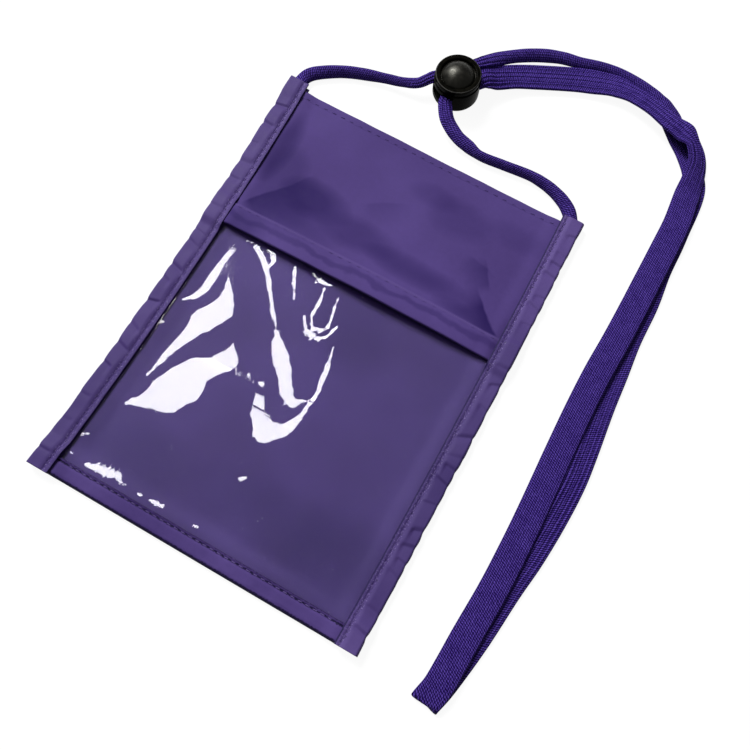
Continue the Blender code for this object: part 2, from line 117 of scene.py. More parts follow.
# Bindings: heights of the tape over what it holds, its puff, tucks and folded rim
TAPE_EASE = 0.0001
TAPE_SLOPE = 0.003
OVER_HEM = 0.0014
OVER_HEADER = 0.0012
PAST_HEM = 0.0006
OVER_TOP_HEM = 0.0003
FOLD_NOSE = 0.0009
FOLD_SQUARE = 0.6
RIM_TUCK = 0.00016
TAPE_PUFF = 0.00062
TAPE_PUFF_END = (0.0044, 0.0062)
TAPE_GROOVE = 0.00020
TAPE_STITCH_DIP = 0.00012
TAPE_WAVE = (0.35, 0.008, 17)
TAPE_LIP = (0.0011, 0.0006, 0.00008)
TAPE_LIP_WAVE = (1.0, 0.006, 23)
TAPE_SWAY = (0.00022, 0.013)
TUCK_PINCH = 0.00030

# Small random tucks along the lower part of each binding: their ends, and the least and most of
# their gaps, slants and sizes (length, width and steep width)
FIRST_TUCK = 0.006 - HALF_LENGTH
LAST_TUCK = 0.030
TUCK_GAPS = (0.0045, 0.0130)
TUCK_SLANTS = (-0.45, 0.35)
TUCK_SIZES = ((0.0040, 0.0080), (0.0010, 0.0030), (0.0004, 0.0011))

# Bottom hem
HEM_TOP = 4 * PLY + 0.0003
HEM_PUFF = (0.00012, 0.011, 77)
HEM_PINCH = 0.0003

# Stitching: thread, rows measured in from the edge that they hold, pitches and lengths
THREAD = 0.00030
STITCH_SIDES = 8
STITCH_RINGS = 7
BINDING_ROW = 0.0018
BINDING_STITCH = (0.0027, 0.0016)
HEADER_ROW = 0.0010
TOP_ROW = 0.0006
HEADER_STITCH = (0.0036, 0.0021)
HEM_ROW = 0.0010
HEM_STITCH = (0.0026, 0.0017)
HEM_STITCH_SINK = 0.0004
ROW_MARGIN = 0.002
ROW_INNER = BINDING_EDGE - 0.0006

# Film: its grid, how freely it follows away from the mirroring flanks, and its lift
FILM_STEP = 0.00038
FILM_HEIGHT = 0.0025
FILM_TUCK = 0.006
FILM_SINK = 0.0003
FILM_ROUNDS = 1900
LOOSE = 0.004
SIDEWAYS = 0.006
CALM = 0.12
LIFT = 0.0007
LIFT_WEIGHT = 8e-6
LIFT_EDGE = 0.016
FLANK_EDGE = (-0.0004, 0.0001)
CALM_EDGE = (0.0015, 0.0035)
RAGGED = ((0.00035, 0.0022, 61), (0.0002, 0.006, 62))

# Lace: its size, and the slanted loops and ribs of its knit
LACE_WIDTH = 0.0098
STRAND_WIDTH = 0.0050
LACE_THICKNESS = 0.0012
LACE_CURL = 0.92
LACE_POINTS = 45
LACE_RIM = 0.00002
ROUTE_STEPS = 24
SETTLE = 41
LACE_CLEARANCE = 0.00015
KNIT_PITCH = 0.00076
WALE_PITCH = 0.00084
LOOP_SLANT = -0.62
LOOP_THICK = -4.4
LOOP_WIDE = -13.5
KNIT_RELIEF = 0.00005
PLEAT = 0.00030
RIB_PITCH = 0.00145
STEEP = 0.3

# Cord lock
LOCK_CENTRE = sum(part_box("lock_body"), Vector()) / 2
LOCK_AZIMUTH = math.radians(53.0)
LOCK_RADIUS = 0.0087
LOCK_WALL = 0.0012
LOCK_FLOOR = 0.0014
LOCK_FOOT_ROUND = 0.0018
LATHE_STEPS = 128
RIM_TOP = 0.0116
RIM_HEIGHT = 0.0024
RIM_OPENING = 0.0065
RIM_SETBACK = 0.00025
RIM_GROOVE = 0.0004
RIM_LIP = 0.0012
RIM_ROUND = 0.0006
RIM_INNER_ROUND = 0.0005
RIM_FOOT_ROUND = 0.0003
# Painted highlight on the lock: its inset from the rim's outer edge, its half width and the heights
# where it begins
HIGHLIGHT_INSET = 0.0005
HIGHLIGHT_WIDTH = 0.0002
HIGHLIGHT_HEIGHTS = (0.0106, 0.0110)
RIM_GAP = 0.0002
WALL_DROP = 0.0006
SHOULDER_DROP = 0.0005
SHOULDER_ROUND = 0.0002
SLOT_FLOOR = 0.0036
SLOT_FORM = (0.0124, 0.0038, 0.0012)
PLUNGER_SLOT = (0.0130, 0.0044, 0.0005)
SHARP_ANGLE = math.radians(38.0)
PRESS_TRAVEL = 0.0018
PLUNGER_WEB = 0.0010
PLUNGER_EDGE = 0.0004
RUNNING_GAP = 0.0003
HEAD_GAP = 0.0004
DOME_TOP = 0.0138
DOME_BASE = 0.0108
SPRING_RADIUS = 0.0046
SPRING_WIRE_RADIUS = 0.0002
SPRING_TURNS = 2
SPRING_SIDES = 10

# Camera, fitted to the wallet's corners and seams
CAMERA_PLACE = (0.0577, -0.0745, 0.26356)
CAMERA_RIGHT = (0.87413, 0.48546, 0.01539)
CAMERA_FORWARD = (-0.12924, 0.26304, -0.95609)
CAMERA_LENS_MM = 39.36
SENSOR_MM = 36.0
CLIP_START = 0.01

# Lamps: a strip, long along the wallet, which the film's ripples mirror, and a soft main lamp
STRIP_PLACE = (-0.62, 0.34, 1.10)
STRIP_SIZE = (0.11, 1.20)
STRIP_POWER = 6.6
MAIN_PLACE = (-0.96, 0.58, 1.14)
MAIN_SIZE = (0.50, 0.50)
MAIN_POWER = 23.5
WORLD = (0.17, 0.17, 0.172)
FLOOR_SIZE = 3.0
FLOOR_DEPTH = 0.0001
FLOOR_GLOW = 0.925

# Marks on the cloths, as places from an edge where they begin and end, or as a middle line with
# half its full and half its whole width
# Painted shade with the dark cut edge along the tapes' inner edges, wider on the right tape
TAPE_CUT_AND_SHADE = (0.00040, 0.00022)
TAPE_SHADE_SHIFT = 0.00020
TAPE_FLECKS = (0.0016, 0.0004, 0.0014)
# A dark line along the hem's lower edge, and painted shade with the cut edge along its inner edge
HEM_LOWER_DARK = (0.0011, 0.0008)
HEM_CUT_AND_SHADE = (0.0003, 0.0002)
HEM_THREAD = (HEM_ROW, 0.00020, 0.00034)
# Painted shade along the middle of the header's lower hem, and a painted highlight along its fold
HEADER_MIDDLE_SHADE = (0.0047, 0.0006, 0.0017)
HEADER_HIGHLIGHT_LINE = (0.0004, 0.0003, 0.0009)

# Colours
CLOTH_LIGHT = (0.054, 0.031, 0.158)
CLOTH_DEEP = (0.037, 0.019, 0.114)
HEADER_LIGHT = (0.083, 0.052, 0.208)
HEADER_DEEP = (0.062, 0.037, 0.160)
TAPE_LIGHT = (0.106, 0.067, 0.240)
TAPE_DEEP = (0.072, 0.042, 0.184)
THREAD_LIGHT = (0.13, 0.09, 0.27)
HEM_LIGHT = (0.084, 0.051, 0.208)
HEM_DEEP = (0.050, 0.028, 0.142)
# The cloth's dark underside, and painted shade on faces that turn downward
UNDERSIDE_AND_SHADE = (0.004, 0.003, 0.008)
# Cut edges that face inward, with painted shade in the gap beside them
CUT_EDGE_AND_SHADE = (0.006, 0.004, 0.014)
# Painted shade, for the cloths' soft dark places, the header's facets and its hem
PAINTED_SHADE = (0.015, 0.006, 0.075)
# Painted shade with the dark cut edge, along the tapes' inner edges
CUT_LINE_AND_SHADE = (0.010, 0.004, 0.055)
# Dark of needle holes and thread and of the hem's edges, with painted shade at its inner edge
MARK_DARK = (0.007, 0.0035, 0.030)
# Painted highlight along the fold of the header's lower hem
FOLD_HIGHLIGHT = (0.125, 0.085, 0.26)
FLECK = (0.22, 0.17, 0.38)
LACE_BODY = (0.023, 0.0055, 0.142)
# The knit's painted highlight on its loops and painted shade in its gaps
LACE_LOOP_HIGHLIGHT = (0.100, 0.056, 0.36)
LACE_GAP_SHADE = (0.003, 0.0004, 0.026)
BLACK = (0.0015, 0.0015, 0.0014)
BLACK_WORN = (0.006, 0.0055, 0.004)
# Painted highlight on the lock's rim
BLACK_EDGE_HIGHLIGHT = (0.095, 0.093, 0.086)
BLACK_TINT = (1.0, 0.98, 0.86)
STEEL = (0.55, 0.56, 0.58)
VINYL = (0.97, 0.96, 0.98)
VINYL_THROUGH = (0.96, 0.955, 0.97)
FLOOR_GREY = (0.10, 0.10, 0.10)
WHITE = (1.0, 1.0, 1.0)

# The map of each point's place on the flat cloth or lace, and how fine the cloth's weave is
FLAT_MAP = "lace"
WEAVE_PITCH = 0.00036

# Soft places of painted shade: (x, y, radius across, radius along) and the depth of the shade
HEADER_SHADES_MM = [
    (-34, 33, 22, 8, 0.5),
    (-27, 43, 14, 8, 0.7),
    (-8, 39, 18, 7, 0.4),
    (16, 36, 20, 6, 0.55),
    (-49, 58, 5, 16, 0.5),
    (-44, 47, 9, 12, 0.35),
    (-46, 23, 13, 8, 0.5),
    (20, 62, 13, 8, 0.25),
    (34, 31, 9, 3.5, 0.35),
    (42, 66, 13, 5, 0.16),
    (8, 66, 10, 5, 0.25),
]
FRONT_SHADES_MM = [
    (-36, -62, 24, 12, 0.4),
    (14, -60, 26, 12, 0.38),
    (40, -60, 16, 20, 0.4),
    (10, 6, 12, 16, 0.25),
]
TAPE_SHADES_MM = [
    (-56, 0, 30, 200, 0.30),
    (-57, -56, 16, 22, 0.25),
    (57, -20, 20, 56, 0.56),
]

# Painted shade on the facets of the crumpled header, dark on the right of a line, or on its left
# where fade is below 0: (x, y, to x, to y, fade) and the depth of the shade
HEADER_FACET_SHADES_MM = [
    (-49.2, 30.6, -32.5, 53.5, 19, 0.82),
    (52.2, 28.4, 37, 43, -14, 0.95),
    (42, 43.5, 35, 54, -9, 0.5),
    (-12, 52, 4, 60, 9, 0.22),
    (30, 52, 42, 49, 8, 0.3),
]

# The bindings' plain tucks by side: (y, slant, depth, length, width, steep width), where the slant
# and the depth are shares
TUCKS_MM = {
    -1: [
        (69.5, 0.19, 1, 8.5, 1.6, 0.55),
        (61.3, -0.05, 0.95, 6, 1.4, 0.8),
        (52, 0.2, 0.4, 4, 2, 0.5),
        (43.6, 0.1, 1, 7.5, 3, 1.6),
        (36.6, 0.02, 0.9, 6, 1.6, 0.8),
    ],
    1: [
        (76, -0.3, 0.4, 4, 2, 0.6),
        (66.8, 0.2, 0.35, 5, 2, 0.6),
        (62.6, 0.1, 0.8, 5.5, 1.6, 0.7),
        (57.6, 0.18, 0.95, 6.5, 2.2, 0.9),
        (49.5, -0.2, 0.45, 5, 2, 0.6),
        (43.5, 0.35, 0.9, 7, 2.6, 1.1),
        (38, -0.1, 0.5, 5, 2, 0.6),
    ],
}

# Flanks of the film's ripples that mirror the strip: the middle line of each and half its width
FLANKS_MM = [
    [
        (-43.4, 11.6, 0.9), (-43.9, 6.5, 0.9), (-43.9, 1.5, 1.5), (-43.7, -4, 1.4),
        (-45.4, -8.2, 1.1), (-48.3, -11.3, 0.4),
    ],
    [
        (-38.7, 3.2, 0.3), (-35.7, -2.7, 2.3), (-34.4, -8, 4.3), (-37.9, -14.1, 4.4),
        (-39.2, -19.5, 2.8), (-41.4, -26.5, 1.5), (-42.6, -33, 1), (-43.8, -40.1, 0.2),
    ],
    [
        (-24.6, -16.3, 0.3), (-23.2, -22.2, 3.9), (-26.2, -26.1, 3.6), (-30.4, -30.8, 5.4),
        (-31.4, -36.3, 7.3), (-34, -41.2, 7), (-38, -45.6, 3.6), (-44.7, -50.9, 0.3),
    ],
    [(-19, -23.7, 0.8), (-14.3, -24.3, 0.6), (-11.4, -24.5, 0.6)],
    [
        (-9, -24.4, 1.2), (-4.6, -33, 2.7), (0.5, -36.8, 4.3), (5.9, -34.2, 2.4),
        (8.4, -27, 1), (9, -18, 0.8), (7.4, -8.5, 1.1), (5.6, -1, 0.3),
    ],
    [
        (-36.7, 18.6, 0.9), (-30.6, 14, 1), (-26.6, 9.8, 0.9), (-22.9, 5, 0.8),
        (-17.5, -1.7, 0.8), (-14.9, -4.3, 0.4), (-11.2, -9.6, 2.4), (-8, -12.8, 3),
        (-3.8, -17.4, 2.6), (-0.6, -21.9, 2.4), (3.6, -24.6, 2), (6.6, -22, 0.5),
    ],
    [(-34.4, 19.9, 0.4), (-31, 19.2, 0.9), (-28.4, 16.6, 0.8), (-28.6, 13.9, 0.4)],
    [(-21, 18.1, 0.5), (-19.6, 15.4, 0.7), (-17.2, 11.2, 0.6), (-14.4, 6.6, 0.4)],
    [
        (-7.8, 15.6, 0.6), (-6.6, 9, 0.7), (-6.6, 4.9, 0.6), (-4.2, 1.6, 0.6), (-1, 1.6, 0.6),
        (0.4, 4.2, 0.6), (-0.8, 9.7, 0.6), (-1.9, 15.4, 0.4),
    ],
    [(-14.4, 19.4, 0.4), (-11.4, 18.2, 0.5), (-7.3, 18, 0.8), (-4, 19.8, 0.4)],
    [(-9, 4.1, 0.5), (-5.8, -0.2, 0.9), (-0.3, -1.4, 0.9), (2.2, 1.4, 0.7), (2.8, 6, 0.4)],
    [(-50.4, -66.3, 0.9), (-49.2, -65.8, 0.8)],
    [(-50.3, -73.4, 0.7), (-49.6, -73.3, 0.7)],
    [
        (-44.3, -74, 0.4), (-41, -73.2, 1), (-36.1, -73.1, 1.3), (-33.6, -73, 0.9),
        (-29.2, -73.8, 0.3),
    ],
    [(-24.2, -74, 0.6), (-23.2, -73.9, 0.6)],
    [(-19.9, -73.9, 0.6), (-17.8, -73.6, 0.8), (-14.6, -73.8, 0.5)],
    [(-3.3, -73.8, 0.7), (-2, -73.6, 0.6)],
    [(1.6, -54.2, 0.9), (3, -52.7, 0.7)],
    [(-0.8, -49.6, 0.3), (-0.4, -47.9, 0.3)],
    [(-50.1, -21.4, 0.5), (-49.1, -21.4, 0.5)],
    [(-40.7, 19.2, 0.5), (-40.2, 19.9, 0.5)],
    [(-38.6, 19.4, 0.5), (-38.2, 20, 0.4)],
    [(-36.8, 20, 0.4), (-36.3, 20.3, 0.4)],
]

# Places beside the flanks where the film stays calm: (x, y, radius across, radius along)
CALM_MM = [(-38, -57, 15, 7.4)]

# The lace's route from each binding to the lock and once round the loop: (x, y, z) in mm. With
# each point go the lace's share of its width, the angle in radians by which it rolls in, the roll's
# flattening, its bank in degrees and how deep its pleats are; a row without these is FLAT
FLAT = (0.96, 0, 1, 0, 0)
LACE_LEFT_MM = [
    (-57.2, 80, 1.8, 0.95, 5, 0.5, 0, 0),
    (-57.4, 85.1, 2, 0.95, 5, 0.5, 10, 0),
    (-56, 88.4, 2.2, 0.95, 5, 0.5, 30, 0),
    (-51.6, 92, 2.4, 0.92, 5, 0.48, 48, 0),
    (-45.2, 95.8, 2.4, 0.88, 5, 0.46, 58, 0),
    (-38.4, 98.4, 2.5, 0.85, 5, 0.46, 60, 0),
    (-29.8, 100.6, 3, 0.68, 5, 0.42, 62, 0),
    (-24, 101.6, 3.8, 0.6, 5, 0.42, 50, 0),
    (-18.3, 103.4, 5, 0.6, 5, 0.44, 25, 0.5),
    (-15.6, 105.8, 6, 0.68, 5, 0.4, 5, 1),
    (-14.1, 107.5, 6.4, 0.8, 5, 0.3, 0, 1),
    (-11.6, 109.6, 6.4, 0.8, 5, 0.25, 0, 1),
]
LACE_RIGHT_MM = [
    (56.6, 79, 1.8, 0.95, 5, 0.5, 0, 0),
    (55.1, 81.6, 1.9, 0.95, 5, 0.5, -10, 0),
    (53.1, 84.3, 2.2, 0.95, 5, 0.5, -25, 0),
    (49.7, 86.8, 2.4, 0.92, 5, 0.5, -45, 0),
    (44.2, 89.1, 2.5, 0.88, 5, 0.48, -60, 0),
    (39.2, 90.2, 2.5, 0.86, 5, 0.46, -68, 0),
    (34.7, 90.5, 2.5, 0.8, 5, 0.42, -72, 0),
    (24.3, 89.5, 2.6, 0.76, 5, 0.4, -72, 0),
    (15.1, 88.7, 2.8, 0.7, 5, 0.4, -68, 0),
    (9.8, 89.8, 3.1, 0.93, 5, 0.46, -50, 0),
    (5.2, 90.9, 3.6, 0.9, 5, 0.46, -30, 0),
    (1.1, 92.9, 4.3, 0.95, 5, 0.5, -6, 0.4),
    (-1.8, 94.9, 5.1, 0.95, 5, 0.48, 0, 0.7),
    (-4.3, 98.2, 5.9, 0.9, 5, 0.4, 0, 1),
    (-5.5, 100.5, 6.4, 0.82, 5, 0.3, 0, 1),
    (-5.4, 104.2, 6.4, 0.8, 5, 0.25, 0, 1),
]
LACE_LOOP_MM = [
    (-3, 107.4, 6.4, 0.8, 5, 0.25, 0, 1),
    (0.4, 112.2, 6.4, 0.85, 4, 0.3, 0, 1),
    (2.3, 116.3, 6.1, 1.04, 2, 0.6, 0, 1),
    (5.9, 120.5, 4.2, 1.09, 0.5, 1, 0, 1),
    (11.2, 125.2, 2.9, 1.08, 0.1, 1, 0, 0.8),
    (18.5, 129.7, 2.1, 1.1, 0, 1, 0, 0.8),
    (30.6, 135.7, 1.9, 1.1, 0, 1, 0, 0.8),
    (36.8, 138.1, 2.1, 1.1, 0.2, 1, 0, 0.7),
    (46.5, 140.6, 2.7, 1.05, 0.4, 1, -6, 0.6),
    (54.6, 140.4, 3.3, 1, 0.7, 1, -12, 0.5),
    (63.2, 138, 3.9, 0.98, 0.9, 1, -18, 0.8),
    (70.8, 135, 4.6, 1.05, 1, 1, -18, 1),
    (76.4, 133.1, 5.2, 1.07, 0.8, 1, -12, 1),
    (81.4, 130.2, 4.8, 0.98, 0.8, 1, -34, 0.9),
    (85.3, 124.8, 4, 0.92, 0.6, 1, -30, 0.5),
    (86.8, 117.2, 3.4, 0.93, 0.4, 1, -18, 0.2),
    (87.4, 109.2, 3.3, 0.95, 0.1, 1, -5, 0),
    (88.4, 98.5, 3.4),
    (88.4, 88.1, 3.4),
    (88.2, 73.7, 3.4),
    (88, 60.2, 3.4),
    (87.6, 46.3, 3.4),
    (87, 34.3, 3.3),
    (86.9, 19.7, 3.2),
    (87.3, 1.6, 3.1),
    (87.6, -7.1, 3),
    (88, -20.9, 3),
    (88.1, -32.8, 2.9),
    (87.9, -45.8, 2.8),
    (86.9, -62.4, 2.7),
    (86.5, -71.8, 2.8),
    (86, -79, 2.6),
    (85.3, -82.2, 2.2),
    (84.9, -83.9, 1.8),
    (84.85, -84.4, 1.4),
    (85, -83.9, 1),
    (85.5, -82.3, 0.9),
    (86.5, -78.8, 0.9),
    (88, -71.4, 1, 0.96, 0, 1, 3, 0),
    (89.8, -60.3, 1.1, 0.96, 0, 1, 4, 0),
    (91.9, -42.6, 1.3, 0.96, 0, 1, 6, 0.3),
    (93.6, -31.4, 1.4, 0.96, 0.1, 1, 8, 0.5),
    (94.5, -22.4, 1.5, 0.96, 0.2, 1, 9, 0.7),
    (95.1, -13.3, 1.6, 0.96, 0.3, 1, 10, 0.8),
    (95.4, -2.9, 1.6, 0.94, 0.4, 1, 10, 0.8),
    (94.8, 6.8, 1.6, 0.94, 0.4, 1, 10, 0.6),
    (93.1, 24.2, 1.3, 0.95, 0.2, 1, 6, 0.3),
    (92.1, 39, 0.9),
    (91.2, 51, 0.9),
    (91.1, 66.4, 0.9),
    (90, 80, 0.9),
    (89.9, 90.5, 0.9),
    (89.7, 100, 0.9, 0.93, 0, 1, 0, 0),
    (89.6, 108, 0.9, 0.9, 0, 1, 0, 0),
    (88.8, 115.8, 0.9, 0.84, 0, 1, 0, 0),
    (85.5, 122.2, 0.9, 0.8, 0, 1, 0, 0),
    (80.6, 128, 0.9, 0.8, 0, 1, 0, 0.3),
    (75.5, 133, 0.9, 0.84, -0.4, 1, 0, 0.5),
    (70, 138.9, 1.1, 0.9, -1.2, 0.9, 0, 0.3),
    (66.2, 142.1, 1.6, 0.88, -2.8, 0.66, 0, 0),
    (62.3, 143.8, 2, 0.8, -4.4, 0.52, -15, 0),
    (56.8, 145.4, 2.3, 0.7, -5, 0.48, -30, 0),
    (49.9, 146.4, 2.4, 0.66, -5, 0.46, -42, 0),
    (43.3, 146.5, 2.4, 0.66, -5, 0.46, -48, 0),
    (36.6, 145.4, 2.4, 0.68, -5, 0.46, -48, 0),
    (30.5, 143.5, 2.4, 0.76, -5, 0.48, -42, 0),
    (23.7, 142.1, 2.5, 0.84, -5, 0.5, -40, 0),
    (17.4, 139.6, 2.7, 0.95, -5, 0.5, -42, 0),
    (11.5, 136.1, 3, 0.95, -5, 0.5, -42, 0),
    (7.4, 132.8, 3.5, 0.92, -5, 0.5, -35, 0),
    (2.4, 127.3, 4.9, 1, -5, 0.48, -15, 0.4),
    (-0.9, 122.7, 6, 0.94, -5, 0.42, 0, 1),
    (-2.4, 120.8, 6.4, 0.82, -5, 0.3, 0, 1),
    (-6.6, 115, 6.4, 0.8, -5, 0.25, 0, 1),
]

# How each stretch of lace is shown: its piece, route, node and width, and the x between which it
# turns from the wallet's motion to the lock's
STRETCHES = [
    ("lace_left_strand", LACE_LEFT_MM, "lace_left", STRAND_WIDTH, -0.045, -0.018),
    ("lace_right_strand", LACE_RIGHT_MM, "lace_right", STRAND_WIDTH, 0.045, 0.0),
    ("lace_loop_strand", LACE_LOOP_MM, "lace_loop", LACE_WIDTH, 0.060, 0.008),
]


def stand(data, place, right, back):
    """A camera or lamp at its place, which looks away from back."""
    made = bpy.data.objects.new(data.name, data)
    turn = Matrix((right, back.cross(right), back)).transposed().to_4x4()
    made.matrix_world = Matrix.Translation(place) @ turn
    bpy.context.scene.collection.objects.link(made)
    return made


def set_camera():
    """The camera at the photograph's place."""
    data = bpy.data.cameras.new("camera")
    data.lens = CAMERA_LENS_MM
    data.sensor_width = SENSOR_MM
    data.clip_start = CLIP_START
    right, forward = (Vector(way).normalized() for way in (CAMERA_RIGHT, CAMERA_FORWARD))
    bpy.context.scene.camera = stand(data, CAMERA_PLACE, right, -forward)


def add_lamp(name, place, size, power):
    """A soft rectangular lamp that looks at the wallet, with its second side along the wallet."""
    data = bpy.data.lights.new(name, "AREA")
    data.shape = "RECTANGLE"
    data.size, data.size_y = size
    data.energy = power
    back = Vector(place).normalized()
    stand(data, place, Vector((0.0, 1.0, 0.0)).cross(back).normalized(), back)


def set_lights():
    """The strip and the main lamp, both high on the left, and a plain world."""
    add_lamp("strip", STRIP_PLACE, STRIP_SIZE, STRIP_POWER)
    add_lamp("main", MAIN_PLACE, MAIN_SIZE, MAIN_POWER)
    world = bpy.data.worlds.new("world")
    world.use_nodes = True
    world.node_tree.nodes["Background"].inputs["Color"].default_value = (*WORLD, 1.0)
    bpy.context.scene.world = world


class Value:
    """A number, place or colour that a material works out; sums of values add nodes."""

    def __init__(self, shader, socket):
        self.shader, self.socket = shader, socket

    def __add__(self, other):
        return self.shader.math("ADD", self, other)

    def __sub__(self, other):
        return self.shader.math("SUBTRACT", self, other)

    def __mul__(self, other):
        return self.shader.math("MULTIPLY", self, other)

    def __pow__(self, other):
        return self.shader.math("POWER", self, other)

    def __abs__(self):
        return self.shader.math("ABSOLUTE", self)

    def larger(self, other):
        return self.shader.math("MAXIMUM", self, other)

    def remap(self, low, high, to_low=0.0, to_high=1.0):
        """The value moved from one range to another, and kept inside it."""
        return self.shader.value("MapRange", 0, {0: self, 1: low, 2: high, 3: to_low, 4: to_high})

    def near(self, centre, core, edge):
        """1 within core of a centre, and 0 beyond edge."""
        return abs(self - centre).remap(core, edge, 1.0, 0.0)


class Shader:
    """A material and the helpers that add nodes to its tree."""

    def __init__(self, name):
        self.material = bpy.data.materials.new(name)
        self.material.use_nodes = True
        self.tree = self.material.node_tree
        self.surface = self.tree.nodes["Principled BSDF"]
        self.output = self.tree.nodes["Material Output"]

    def add(self, kind, inputs=None, **settings):
        """A new node; an input may be a plain value or a value of the tree."""
        made = self.tree.nodes.new("ShaderNode" + kind)
        for name, value in settings.items():
            setattr(made, name, value)
        for name, value in (inputs or {}).items():
            self.join(value, made.inputs[name])
        return made

    def join(self, value, socket):
        """Links a value of the tree to a socket, or sets the socket to a plain value."""
        if isinstance(value, Value):
            self.tree.links.new(value.socket, socket)
        else:
            socket.default_value = (*value, 1.0) if socket.type == "RGBA" else value

    def value(self, kind, output, inputs=None, **settings):
        """One output of a new node."""
        return Value(self, self.add(kind, inputs, **settings).outputs[output])

    def place(self):
        """The place in the object's own frame, in metres."""
        return self.value("TexCoord", "Object")

    def flat_place(self):
        """The place on the flat cloth or lace, as (across or reach, along)."""
        return self.value("UVMap", "UV", uv_map=FLAT_MAP)

    def axes(self, place):
        """The x, y and z of a place."""
        return [Value(self, socket) for socket in self.add("SeparateXYZ", {0: place}).outputs]

    def math(self, operation, a, b=0.0):
        return self.value("Math", 0, {0: a, 1: b}, operation=operation)

    def dot(self, a, b):
        return self.value("VectorMath", "Value", {0: a, 1: b}, operation="DOT_PRODUCT")

    def noise(self, place, scale, detail=3.0, roughness=0.5):
        inputs = {"Vector": place, "Scale": scale, "Detail": detail, "Roughness": roughness}
        return self.value("TexNoise", "Fac", inputs)

    def blend(self, factor, a, b):
        """A colour between a and b."""
        return self.value("Mix", 2, {0: factor, 6: a, 7: b}, data_type="RGBA")

    def rays(self, *kinds):
        """1 for a ray of any of the kinds, and 0 for others."""
        outputs = self.add("LightPath").outputs
        any_kind, *others = (Value(self, outputs[f"Is {kind} Ray"]) for kind in kinds)
        for kind in others:
            any_kind = any_kind.larger(kind)
        return any_kind

    def bump(self, height, distance, strength):
        inputs = {"Height": height, "Distance": distance, "Strength": strength}
        self.set(Normal=self.value("Bump", "Normal", inputs))

    def set(self, **values):
        """Sets the surface's inputs, named with _ for a space."""
        for name, value in values.items():
            self.join(value, self.surface.inputs[name.replace("_", " ")])


def tape_marks(shader, tone):
    """Painted shade with the tape's dark cut inner edge, and the flecks of its thread."""
    place = shader.flat_place()
    reach = shader.axes(place)[0]
    rough = shader.noise(place, 1500.0, 2.0).remap(0.3, 0.7, -0.0001, 0.0001)
    # Painted shade with the dark cut edge along the inner edge, wider on the right tape than the left
    side = shader.math("SIGN", shader.axes(shader.place())[0])
    line = side * TAPE_SHADE_SHIFT + rough
    cut = (reach + line).remap(*(BINDING_WIDTH - edge for edge in TAPE_CUT_AND_SHADE))
    tone = shader.blend(cut * 0.92, tone, CUT_LINE_AND_SHADE)
    middle, *widths = TAPE_FLECKS
    band = reach.near(BINDING_WIDTH - middle, *widths)
    light = shader.noise(place, 1900.0, 2.0, 0.6).remap(0.58, 0.66)
    tone = shader.blend(light * band, tone, FLECK)
    moved = shader.value("Mapping", 0, {"Vector": place, "Location": (0.3, 0.1, 0.0)})
    holes = shader.noise(moved, 1500.0, 2.0, 0.6).remap(0.60, 0.66, 0.0, 0.8)
    return shader.blend(holes * band, tone, MARK_DARK)


def hem_marks(shader, tone):
    """The hem's dark lower edge, painted shade with its cut inner edge, and its ragged row of thread.
    """
    place = shader.flat_place()
    rough = shader.noise(place, 1300.0, 2.0, 0.6).remap(0.3, 0.7, -0.00022, 0.00022)
    torn = shader.axes(place)[0] + rough
    low = torn.remap(*HEM_LOWER_DARK)
    # Painted shade with the cut edge along the inner edge
    cut = torn.remap(*(HEM_WIDTH - edge for edge in HEM_CUT_AND_SHADE), 0.0, 0.8)
    middle, *widths = HEM_THREAD
    row = torn.near(HEM_WIDTH - middle, *widths)
    return shader.blend(low.larger(cut).larger(row) * 0.93, tone, MARK_DARK)


def header_marks(shader, tone):
    """Painted shade on the header's facets and lower hem, and a painted highlight along the hem's
    fold.
    """
    place = shader.place()
    y = shader.axes(place)[1]
    uneven = shader.noise(place, 90.0, 3.0).remap(0.3, 0.7, -0.0014, 0.0014)
    on_plain = y.remap(HEADER_FOLD - 0.0002, HEADER_FOLD)
    # Painted shade on each facet, crisp at its line and fading away from it
    for start_x, start_y, end_x, end_y, fade, depth in HEADER_FACET_SHADES_MM:
        start, end = Vector((start_x, start_y, 0.0)) / 1000, Vector((end_x, end_y, 0.0)) / 1000
        length = (end - start).length
        line = (end - start).normalized()
        off = Vector((line.y, -line.x, 0.0)) * math.copysign(1.0, fade)
        along = shader.dot(place, line) - start.dot(line)
        below = shader.dot(place, off) - start.dot(off) + uneven * 0.4
        dark = below.remap(-0.0002, 0.0006, 0.0, depth) * below.remap(abs(fade) / 1000, 0.0)
        dark = dark * along.remap(-0.001, 0.002) * along.remap(length, length * 0.6)
        tone = shader.blend(dark * on_plain, tone, PAINTED_SHADE)
    # Painted shade along the middle of the lower hem
    middle, *widths = HEADER_MIDDLE_SHADE
    dark = (y + uneven).near(HEADER_EDGE + middle, *widths)
    tone = shader.blend(dark * 0.38, tone, PAINTED_SHADE)
    # Painted highlight along the fold over the lower hem
    middle, *widths = HEADER_HIGHLIGHT_LINE
    return shader.blend(y.near(HEADER_FOLD - middle, *widths) * 0.3, tone, FOLD_HIGHLIGHT)


